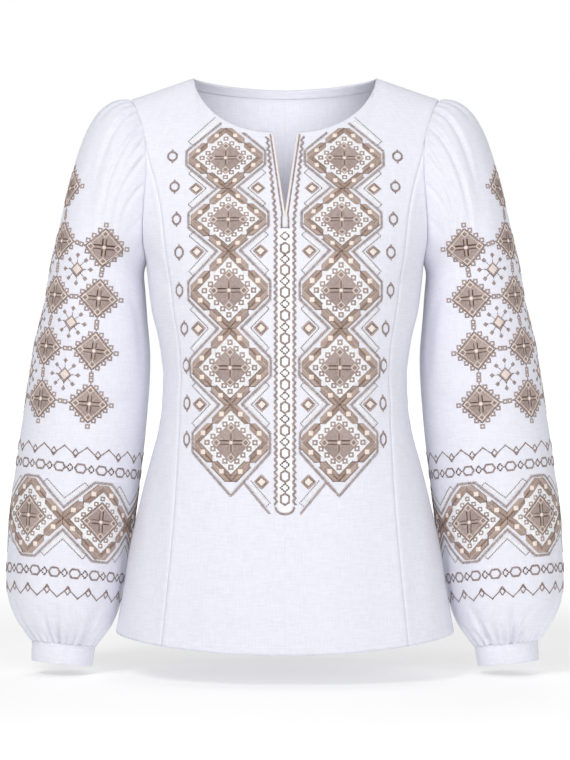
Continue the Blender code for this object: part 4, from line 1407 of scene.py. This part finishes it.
# The bars of a cross, each from one side of its middle line to the other, with thread, darkness (painted
# sheen and shade included) and height.
LEVEL_BARS = (
    (-2.8, -1.2, "brown", 0.7, 0.6), (-1.2, 1.1, "taupe", 0.15, 0.75), (1.1, 3.0, "brown", 1.0, 0.65),
)
UPRIGHT_BARS = (
    (-2.9, -0.8, "taupe", 0.1, 0.7), (-0.8, 0.8, "brown", 0.7, 0.55), (0.8, 2.9, "taupe", 0.3, 0.7),
)
FRONT_DIAMOND = 23.2
FRONT_LOOPS = 27.0
WHITE_FIELD = (36.5, 21.5)
NOTCH_DIAMOND_AWAY = 35
RING_TAIL = 1.6
RHOMBS = table(
    "x z above below across",
    (-65.7, -98.0, 0.83, 0.83, 0.97), (-62.2, -168.2, 0.84, 0.83, 0.98), (-61.1, -246.4, 1.03, 0.98, 1.0),
    (-60.1, -330.6, 1.03, 0.96, 0.99), (-59.2, -412.6, 0.995, 1.0, 0.98),
)
RINGS = table(
    "x z across up",
    (-125.1, -95.2, 5.3, 5.2), (-122.2, -129.9, 5.1, 5.2), (-119.6, -166.6, 4.7, 5.8),
    (-116.6, -203.5, 4.7, 6.2), (-116.6, -245.3, 4.1, 6.4), (-111.0, -287.2, 3.9, 6.2),
    (-109.2, -327.8, 3.6, 6.6), (-108.3, -369.8, 3.3, 6.8), (-108.6, -409.6, 3.3, 6.8),
)
BAND_HALF = 10.1
BAND_HEXAGONS = (
    -200.7, -224.3, -248.7, -273.8, -298.9, -323.9, -349.0, -374.0, -399.1, -424.1, -449.2, -474.2,
)
BAND_WHITE_HALF = 8.3
BAND_WHITE_TOP = -179
FIRST_BAND_DIAMOND = -187.0
BAND_END = -482.5
# The line beside the band: where it starts, its step down, and how far it swings and, by the slit, flares.
BAND_TOP = -74
BAND_STEP = 3.5
BAND_SWING = 3.0
BAND_FLARE = 9.8
BAND_FLARE_HEIGHT = 96
BAND_FLARE_END = -168


def leaf_ribbon(pattern):
    """Eight folded leaves round a rhomb, two to a side, each with a cream square in its middle. One half of
    each leaf is painted lighter and the other darker, painted sheen and shade, and the lower leaves have
    dark lines along their edges as painted shade.
    """
    for mx, my in QUADRANTS:
        for start in ((0, 42), (21, 21)):
            corner = [np.array([(start[0] + x) * mx, (start[1] + y) * my]) for x, y in LEAF]
            middle = (corner[0] + corner[3]) / 2
            along = unit(corner[3] - corner[0])
            # Painted sheen and shade: one half of each leaf lighter, the other darker, swapping from leaf
            # to leaf.
            shade = 0.26 if mx * my * (start[0] - 10) > 0 else 0.0
            pattern.patch("taupe", corner[:4], 0.5, 0.08 + shade, 90)
            pattern.patch("taupe", [corner[0], *corner[3:]], 0.5, 0.62 - shade, 0)
            pattern.patch("cream", square(middle, 3.0), 0.8, 0.2)
            pattern.run("line", [corner[0] + along * 1.5, middle - along * 4.9], lift=0.3)
            # Painted shade: dark brown lines along the edges of the lower leaves only.
            if my < 0:
                pattern.run("line", [corner[0], corner[1], corner[2]], lift=0.1)
                pattern.run("line", [corner[5], corner[4]], lift=0.1)


def cross_diamond(pattern, half, loops, edged):
    """A filled diamond with a cross and a small diamond at each tip. loops are the places of its eyelets.

    edged gives it a dark edge and a pale line inside.
    """
    for (mx, my), tone_and_sheen in zip(QUADRANTS, (0.45, 0.3, 0.5, 0.6)):
        corners = [(0, 0), (half * mx, 0), (half * mx / 2, half * my / 2), (0, half * my)]
        pattern.patch("ash", corners, 0.35, tone_and_sheen, 45 * mx * my)
    if edged:
        pattern.run("line", diamond((0, 0), half), closed=True, lift=0.15)
        pattern.run("pale", diamond((0, 0), half - 3.4), closed=True, lift=0.25)
    bars = {0: LEVEL_BARS, 90: LEVEL_BARS if edged else UPRIGHT_BARS}
    for way in np.array(WAYS):
        beside, turn = np.array([-abs(way[1]), abs(way[0])]), 0 if way[0] else 90
        for low, high, thread, tone_and_sheen, height in bars[turn]:
            near, far = way * 2.0, way * half * (0.56 if way[0] else 0.46)
            corners = [near + beside * low, near + beside * high, far + beside * high, far + beside * low]
            pattern.patch(thread, corners, height, tone_and_sheen, turn)
        tip = way * half * 0.71
        pattern.frame("cream", diamond(tip, 4.6), diamond(tip, 3.2), 0.65, 0.4)
        pattern.patch("ash", diamond(tip, 2.7), 0.55, 0.9)
    pattern.patch("cream", square((0, 0), 1.8), 0.95, 0.1)
    for number, place in enumerate(loops):
        loop(pattern, place, 2.95 if edged else 3.3, 0.3 + 0.12 * (number % 4))


def loops_along(reach, shares):
    """Places along the four sides of a diamond, at these shares of each side."""
    places = []
    for share in shares:
        for mx, my in QUADRANTS:
            x, y = reach * share, reach * (1 - share)
            places.append((x * mx, y * my) if mx * my > 0 else (y * mx, x * my))
    return places


def loop(pattern, place, half, tone_and_sheen):
    """A small square eyelet with a pale middle."""
    pattern.frame("ash", square(place, half), square(place, 0.85), 0.6, tone_and_sheen)
    pattern.patch("white", square(place, 0.95), 0.25, 0.0)


def white_field(pattern, outer, inner):
    """White satin between a rhomb's leaves and its inner diamond."""
    for mx, my in QUADRANTS:
        corners = [(outer * mx, 0), (0, outer * my), (0, inner * my), (inner * mx, 0)]
        pattern.patch("white", corners, 0.14, 0.25, 45 * mx * my)
    for reach in (outer - 2.0, outer - 5.6):
        pattern.run("white", diamond((0, 0), reach), closed=True, lift=-0.05)


def framed_diamond(pattern, centre):
    """A small cream diamond in a taupe frame with a dark inner edge."""
    outer, inner = np.array(diamond(centre, 9.0)), np.array(diamond(centre, 5.2))
    for k in range(4):
        corners = [outer[k], outer[(k + 1) % 4], inner[(k + 1) % 4], inner[k]]
        pattern.patch("taupe", corners, 0.45, (0.1, 0.5)[k % 2], 45 + 90 * (k % 2))
    pattern.patch("cream", diamond(centre, 4.6), 0.35, 0.25, 45)
    pattern.run("line", inner, closed=True, lift=0.1)


def chevron(pattern, side):
    """A white chevron in a thin dark line, in the notch between two rhombs."""
    tip, far = 23.5, 43.8
    line = [(far - 4.5, 25.5), (far, 21), (tip, 0), (far, -21), (far - 4.5, -25.5)]
    pattern.run("dash", [(x * side, y) for x, y in line])
    for up in (-1, 1):
        band = [(17.6, 0), (22.0, 0), (42.0, 20.0), (39.8, 22.2)]
        pattern.patch("white", [(x * side, y * up) for x, y in band], 0.15, 0.2, -45 * side * up)
        pattern.run("rib", [(x * side, y * up) for x, y in ((20.0, 0.4), (40.6, 21.0))])


def rhomb_pattern(kind, edged=False):
    """A rhomb with its outline: first, full or last of its column. edged is its inner diamond's."""
    pattern = Pattern()
    for line in OUTLINES[kind]:
        pattern.run("outline", line)
    for line in INNER_LINES[kind]:
        pattern.run("white", line, lift=-0.1)
    leaf_ribbon(pattern)
    cross_diamond(pattern, FRONT_DIAMOND, loops_along(FRONT_LOOPS, (0, 0.25, 0.5, 0.75)), edged)
    white_field(pattern, *WHITE_FIELD)
    return pattern


def ring_pattern(ring):
    pattern = Pattern()
    x, z, across, up = ring["x"], ring["z"], ring["across"], ring["up"]
    pattern.ring("eye", (x, z), across, up, 8)
    for way in (-1, 1):
        pattern.run("ring", [(x, z + way * up), (x, z + way * (up + RING_TAIL))])
    return pattern


def scaled(x, z, across, above, below):
    """A way to move a motif to (x, z), with its own scale across, above and below."""

    def moved(points):
        up = np.where(points[:, 1] > 0, above, below)
        return np.stack([x + points[:, 0] * across, z + points[:, 1] * up], axis=-1)

    return moved


def front_column():
    """The column of rhombs at minus x with what stands beside it."""
    half = Pattern()
    for number, place in enumerate(RHOMBS):
        kind = "first" if number == 0 else "last" if number == len(RHOMBS) - 1 else "full"
        across, above, below = (place[key] for key in ("across", "above", "below"))
        half.add(rhomb_pattern(kind), scaled(place["x"], place["z"], across, above, below))
        if number:
            over = RHOMBS[number - 1]
            notch = Pattern()
            for side in (-1, 1):
                chevron(notch, side)
                framed_diamond(notch, (NOTCH_DIAMOND_AWAY * side, 0))
            x, z = (place["x"] + over["x"]) / 2, place["z"] + RHOMB_HALF * above
            half.add(notch, scaled(x, z, across, over["below"], above))
    for ring in RINGS:
        half.add(ring_pattern(ring))
    half.run("dash", [(-103.4, -82.2), (-107.9, -78.2), (-78.5, -50.5)])
    half.patch("white", [(-103.6, -82.3), (-106.7, -78.7), (-78.9, -52.6), (-75.8, -56.2)], 0.15, 0.2, -45)
    half.run("rib", [(-104.6, -80.0), (-77.6, -54.6)])
    half.run("outline", [(-44.6, -456.6), (-17.2, -489.6)])
    half.run("dash", [(-36.9, -454.4), (-16.2, -478.2), (-19.8, -481.5)])
    half.patch("white", [(-39.9, -458.5), (-37.0, -456.1), (-19.4, -477.2), (-22.3, -479.7)], 0.15, 0.2, 45)
    half.run("rib", [(-38.6, -457.2), (-21.0, -478.0)])
    framed_diamond(half, (-25.6, -455.4))
    beside = []
    for k, z in enumerate(np.arange(BAND_TOP, BAND_END, -BAND_STEP)):
        flare = BAND_FLARE * np.clip((z - BAND_FLARE_END) / BAND_FLARE_HEIGHT, 0, 1)
        beside.append((-BAND_HALF - flare + BAND_SWING * (k % 2 - 0.5), z))
    half.run("thick", beside)
    return half


def front_pattern():
    """Both columns and, between them, the band of hexagons."""
    whole = Pattern()
    whole.add(front_column())
    whole.add(front_column(), lambda points: points * (-1, 1))
    for z in BAND_HEXAGONS:
        shape = [(0, 6.2), (4.5, 3.4), (4.5, -3.4), (0, -6.2), (-4.5, -3.4), (-4.5, 3.4)]
        whole.run("ring", [(x, z + y) for x, y in shape], closed=True, lift=0.1)
    for z in [FIRST_BAND_DIAMOND] + [(a + b) / 2 for a, b in zip(BAND_HEXAGONS, BAND_HEXAGONS[1:])]:
        whole.run("dot", diamond((0, z), 4.9, 4.6), closed=True, lift=0.1)
    half, top, end = BAND_WHITE_HALF, BAND_WHITE_TOP, BAND_END - 6
    whole.patch("white", [(-half, BAND_END), (half, BAND_END), (half, top), (-half, top)], 0.12, 0.1)
    whole.patch("white", [(-4, end), (4, end), (half, BAND_END), (-half, BAND_END)], 0.12, 0.1)
    turns = np.linspace(0, math.pi, 9)
    whole.run("thick", [(-BAND_HALF * math.cos(t), BAND_END - 1 - 7.0 * math.sin(t)) for t in turns])
    return whole


def on_front(places):
    return body_surface(places[:, 0], places[:, 1], "front")


on_the_front = embroidered("front", front_pattern(), on_front, 100)

# ------------------------------------------------------------------ the slit and the stitched seams
# The slit's edges are turned and corded in cream, with a line of stitches beside them and a white bar
# that holds its end. The hem and the cuffs are stitched round in white.

CORD_RADIUS = 0.8
CORD_SIDES = 8
CORD_TOP = -69.2
CORD_AWAY = 0.5
CORD_SUNK = 0.25
SLIT_LINE_TOP = -71
SLIT_LINE_AWAY = 3.0
BAR_LINE_AWAY = 0.9
BAR_HALF_WIDTH = 2.9
BAR_BOTTOM = -177.5
HEM_STITCHED_IN = 2.0
HEM_STITCHED_UP = 0.97
BUTTONHOLE_HALF_LENGTH = 6.4
BUTTONHOLE_HALF_WIDTH = 1.0
TIE_HEIGHT = 2.45


def cord_mesh(path, normals, radius):
    """A round cord along a path that lies on the cloth, closed at both ends."""
    along = unit(np.gradient(path, axis=0))
    beside = unit(np.cross(along, normals))
    angles = np.linspace(0, 2 * math.pi, CORD_SIDES, endpoint=False)
    rings = path[:, None] + radius * (
        beside[:, None] * np.cos(angles)[None, :, None] + normals[:, None] * np.sin(angles)[None, :, None]
    )
    index = np.arange(len(path) * CORD_SIDES).reshape(len(path), CORD_SIDES)
    wrapped = np.concatenate([index, index[:, :1]], axis=1)
    faces = quads(wrapped).tolist() + [index[0].tolist(), index[-1][::-1].tolist()]
    run = np.concatenate([[0], np.cumsum(np.linalg.norm(np.diff(path, axis=0), axis=1))])
    grain = np.stack([part + 0 * index for part in (angles * radius, run[:, None])], axis=-1)
    return rings.reshape(-1, 3), faces, grain.reshape(-1, 2) * MM


def finish_slit():
    z = np.linspace(CORD_TOP, SLIT_END - 1.0, 60)
    for name, side in SIDES:
        path, normals = body_surface(side * (slit_x(z) + CORD_AWAY), z, "front")
        mesh = cord_mesh(path - normals * CORD_SUNK, normals, CORD_RADIUS)
        on_the_front.append(finished(f"slit_cord_{name}", *mesh, threads["cream"], "cream_thread"))
    pattern = Pattern()
    line = np.linspace(SLIT_LINE_TOP, SLIT_END, 30)
    bar = [(BAR_HALF_WIDTH + BAR_LINE_AWAY, z) for z in (SLIT_END - 3, BAR_BOTTOM)]
    for side in (-1, 1):
        down = [(side * (slit_x(height) + SLIT_LINE_AWAY), height) for height in line]
        pattern.run("edge", down + [(side * x, height) for x, height in bar])
    half, low, top = BAR_HALF_WIDTH, BAR_BOTTOM, SLIT_END
    pattern.patch("white", [(-half, low), (half, low), (half, top), (-half, top)], 0.6, 1.0, 0)
    pattern.run("line", [(-half - 1, low), (half + 1, low)], lift=0.2)
    on_the_front.extend(embroidered("slit", pattern, on_front, 200))


def stitched_hems():
    lines = []
    for side in ("front", "back"):
        edge = float(half_width(HEM_SIDE)) - HEM_STITCHED_IN
        x = edge * np.sin(np.linspace(-math.pi / 2, math.pi / 2, 260))
        points, normals = body_surface(x, hem(x, side) + HEM_BAND * HEM_STITCHED_UP, side)
        lines.append((points + normals * 0.25, normals, False))
    stitched("hem_topstitch", "topstitch", lines, 300)
    turns = np.linspace(CUFF_OPENS_AT + CUFF_OVERLAP + 1, CUFF_OPENS_AT + 359 + CUFF_OVERLAP, 160)
    lap = cuff_lap(turns)
    centre, along, up, out = button_frame()
    around = np.linspace(0, 2 * math.pi, 40, endpoint=False)
    hole = centre + BUTTONHOLE_HALF_LENGTH * np.cos(around)[:, None] * along
    hole = hole + BUTTONHOLE_HALF_WIDTH * np.sin(around)[:, None] * up
    for side_name, flip in SIDES:
        mirror = np.array([flip, 1, 1])
        lines = []
        for down in (CUFF_STITCHED_IN, CUFF_HEIGHT - CUFF_STITCHED_IN):
            points = cuff_point(turns, np.full_like(turns, down), lap - 0.15)
            normals = unit(points - cuff_point(turns, np.full_like(turns, down), lap - 10))
            lines.append((points * mirror, normals * mirror, False))
        stitched(f"cuff_topstitch_{side_name}", "topstitch", lines, 310)
        lines = [((hole + out * 0.1) * mirror, np.broadcast_to(out, hole.shape) * mirror, True)]
        stitched(f"buttonhole_{side_name}", "buttonhole", lines, 320)
        lines = []
        for ends in ([(-1, -1), (1, 1)], [(-1, 1), (1, -1)]):
            spots = np.array(ends) * BUTTON_HOLE_SPREAD
            tie = centre + out * TIE_HEIGHT + spots[:, :1] * along + spots[:, 1:] * up
            points = np.linspace(tie[0], tie[1], 5) * mirror
            lines.append((points, np.broadcast_to(out, points.shape) * mirror, False))
        stitched(f"button_thread_{side_name}", "topstitch", lines, 330)


finish_slit()
stitched_hems()

# ------------------------------------------------------------------ the sleeves' embroidery
# Above the elbow, three columns of small-cross diamonds joined by eyelets, with eight-rayed stars between.
# Below it five rhombs go round the forearm, between a chain of hexagons and a zigzag above and below.

FIRST_ROW = int(np.argmax(sleeve_v))
COLUMNS = dict(
    centre=[(-9.5, -144.5), (0.0, -198.5), (0.0, -255.5), (0.0, -311.0), (0.0, -370.0)],
    front=[(68.5, -167.6), (58.0, -251.5), (61.0, -310.8), (61.0, -369.8)],
    back=[(-60.0, -192.0), (-60.0, -250.5), (-60.0, -310.0), (-60.0, -369.5)],
)
STARS = [(a, v) for a in (30.0, -30.0) for v in (-225.0, -282.0, -340.0)]
SLEEVE_DIAMOND = 21.6
SLEEVE_LOOPS = 24.8
SLEEVE_TIP_LOOPS = 25.3
ZIGZAG_LEVELS = ((-425.0, 1), (-586.5, -1))
CHAIN_LEVELS = (-444.5, -564.5)
ZIGZAGS_ROUND = 17
ZIGZAG_HALF = 5.2
HEXAGONS_ROUND = 18
FIRST_HEXAGON = 0.4
RHOMB_LEVEL = -504.0
RHOMBS_ROUND = 5
FIRST_RHOMB = -1.5
JOIN_EYELET = 2.9
JOIN_BAR_FROM = 5.4
SLEEVE_MIDDLE_X = 240

sleeve_normals = grid_normals(sleeve_points)
sleeve_normals *= np.sign(np.sum(sleeve_normals[..., 0] * (sleeve_points[..., 0] - SLEEVE_MIDDLE_X)))


def sleeve_round(v):
    """How far it is round the sleeve at this height."""
    return np.interp(-v, -sleeve_v[FIRST_ROW:], (sleeve_a[:, -1] - sleeve_a[:, 0])[FIRST_ROW:])


def on_sleeve(flip):
    """A way to lay places (a, v) on a sleeve: a from the centre line to the front, v the height."""

    def lay(places):
        a, v = places[:, 0], places[:, 1]
        row = np.interp(-v, -sleeve_v[FIRST_ROW:], np.arange(FIRST_ROW, len(sleeve_v)))
        row = np.clip(row, 0, len(sleeve_v) - 1.001)
        i = row.astype(int)
        start = sleeve_a[i, 0] * (1 - row + i) + sleeve_a[i + 1, 0] * (row - i)
        finish = sleeve_a[i, -1] * (1 - row + i) + sleeve_a[i + 1, -1] * (row - i)
        column = ((a - start) / (finish - start) % 1.0) * SLEEVE_COLUMNS
        j = np.minimum(column.astype(int), SLEEVE_COLUMNS - 1)
        f, g = (row - i)[:, None], (column - j)[:, None]

        def read(grid):
            upper = grid[i, j] * (1 - g) + grid[i, j + 1] * g
            return upper * (1 - f) + (grid[i + 1, j] * (1 - g) + grid[i + 1, j + 1] * g) * f

        mirror = np.array([flip, 1, 1])
        return read(sleeve_points) * mirror, unit(read(sleeve_normals)) * mirror

    return lay


def flat_about(centre, below=None):
    """A way to draw a small motif true to shape on the sleeve round a place (a, v).

    Its upright runs down the sleeve, or towards the place below. Millimetres become places.
    """
    lay = on_sleeve(1)
    a, v = centre
    at = lay(np.array([centre]))[0][0]
    near = lay(np.array([(a - 3, v), (a + 3, v), (a, v - 3), (a, v + 3)]))[0]
    along_a, along_v = (near[1] - near[0]) / 6, (near[3] - near[2]) / 6
    out = unit(np.cross(along_a, along_v))
    up = along_v if below is None else at - lay(np.array([below]))[0][0]
    up = unit(up - (up @ out) * out)
    aside = unit(along_a - (along_a @ up) * up)
    flat = np.stack([aside, up])
    back = np.linalg.inv(flat @ np.stack([along_a, along_v], axis=-1))

    def placed(points):
        places = np.asarray(points) @ back.T + centre
        for _ in range(8):
            missed = points - (lay(places)[0] - at) @ flat.T
            places = places + 0.8 * missed @ back.T
        return places

    return placed


def round_at(level):
    """A way to keep a motif upright where the sleeve narrows: its distance round goes with the girth."""

    def placed(points):
        share = sleeve_round(points[:, 1]) / sleeve_round(level)
        return np.stack([points[:, 0] * share, points[:, 1]], axis=-1)

    return placed


def star():
    """An open star: a framed cream diamond and eight rays with a small diamond at each tip."""
    pattern = Pattern()
    pattern.frame("taupe", diamond((0, 0), 8.6, 8.8), diamond((0, 0), 5.2, 5.3), 0.5, 0.4)
    pattern.patch("cream", diamond((0, 0), 5.0, 5.1), 0.35, 1.1, 45)
    pattern.run("line", diamond((0, 0), 8.8, 9.0)[:3], lift=0.1)
    for k in range(8):
        way = np.array([math.cos(k * math.pi / 4), math.sin(k * math.pi / 4)])
        start, reach = (9.6, 15.8) if k % 2 == 0 else (6.4, 14.6)
        pattern.run("line", [way * start, way * (reach - 2.4)])
        pattern.patch("ash", diamond(way * reach, 3.2), 0.5, 0.6)
    return pattern


def upper_sleeve_pattern():
    pattern = Pattern()
    joins = [((name, k), 3, (name, k + 1), 1) for name in COLUMNS for k in range(len(COLUMNS[name]) - 1)]
    joins += [(("centre", k + 1), 0, ("front", k), 2) for k in range(4)]
    joins += [(("centre", k + 1), 2, ("back", k), 0) for k in range(4)]
    joined = {(name, way) for row in joins for name, way in (row[:2], row[2:])}
    tips = {}
    for name, column in COLUMNS.items():
        for number, place in enumerate(column):
            free = [way for way in range(4) if ((name, number), way) not in joined]
            medallion = Pattern()
            loops = loops_along(SLEEVE_LOOPS, (0.25, 0.5, 0.75))
            loops += [np.array(WAYS[k]) * SLEEVE_TIP_LOOPS for k in free]
            cross_diamond(medallion, SLEEVE_DIAMOND, loops, True)
            lay = flat_about(place, column[number + 1] if number == 0 else None)
            pattern.add(medallion, lay)
            tips[name, number] = lay(np.array(WAYS) * SLEEVE_DIAMOND)
    for start, way, finish, other_way in joins:
        join(pattern, tips[start][way], tips[finish][other_way])
    for place in STARS:
        pattern.add(star(), flat_about(place))
    return pattern


def join(pattern, start, finish):
    """Two eyelets on a short bar between the tips of two medallions."""
    ends = on_sleeve(1)(np.array([start, finish]))[0]
    half = np.linalg.norm(ends[1] - ends[0]) / 2
    made = Pattern()
    for way in (-1, 1):
        loop(made, (0, JOIN_EYELET * way), JOIN_EYELET, 0.5)
        if half > JOIN_BAR_FROM + 0.2:
            bar = ((-1.2, JOIN_BAR_FROM), (1.2, JOIN_BAR_FROM), (1.2, half), (-1.2, half))
            made.patch("ash", [(x, y * way) for x, y in bar], 0.35, 0.6)
    pattern.add(made, flat_about((start + finish) / 2, finish))


def band_pattern():
    """The rhombs round the forearm with their chains and zigzags."""
    pattern = Pattern()
    for level, way in ZIGZAG_LEVELS:
        row = Pattern()
        pitch = float(sleeve_round(level)) / ZIGZAGS_ROUND
        for k in range(ZIGZAGS_ROUND):
            a = pitch * k
            peak, valley = level + ZIGZAG_HALF * way, level - ZIGZAG_HALF * way
            row.run("zigzag", [(a - pitch / 2, peak), (a, valley), (a + pitch / 2, peak)])
            row.run("zigzag", diamond((a, level - ZIGZAG_HALF / 2 * way), 3.3, 4.9), closed=True)
        pattern.add(row, round_at(level))
    for level in CHAIN_LEVELS:
        row = Pattern()
        pitch = float(sleeve_round(level)) / HEXAGONS_ROUND
        for k in range(HEXAGONS_ROUND):
            a = pitch * (k + FIRST_HEXAGON)
            shape = [(6.4, 0), (3.5, 4.7), (-3.5, 4.7), (-6.4, 0), (-3.5, -4.7), (3.5, -4.7)]
            row.run("ring", [(a + x, level + y) for x, y in shape], closed=True)
            row.run("dot", diamond((a + pitch / 2, level), 3.4, 4.4), closed=True)
        pattern.add(row, round_at(level))
    pitch = float(sleeve_round(RHOMB_LEVEL)) / RHOMBS_ROUND
    stretch = pitch / 2 / RHOMB_HALF
    for k in range(RHOMBS_ROUND):
        made = rhomb_pattern("full", True)
        notch = Pattern()
        for side in (-1, 1):
            chevron(notch, side)
        made.add(notch, lambda points: points + (0, RHOMB_HALF))

        def turned(points, k=k):
            a = pitch * k + FIRST_RHOMB + points[:, 1] * stretch
            return np.stack([a, RHOMB_LEVEL + points[:, 0]], axis=-1)

        pattern.add(made, turned)
    return pattern


whole_sleeve = upper_sleeve_pattern()
whole_sleeve.add(band_pattern())
for (side_name, flip), piece in zip(SIDES, sleeve_cloths):
    made = embroidered(f"sleeve_{side_name}", whole_sleeve, on_sleeve(flip), 400 + 50 * flip)
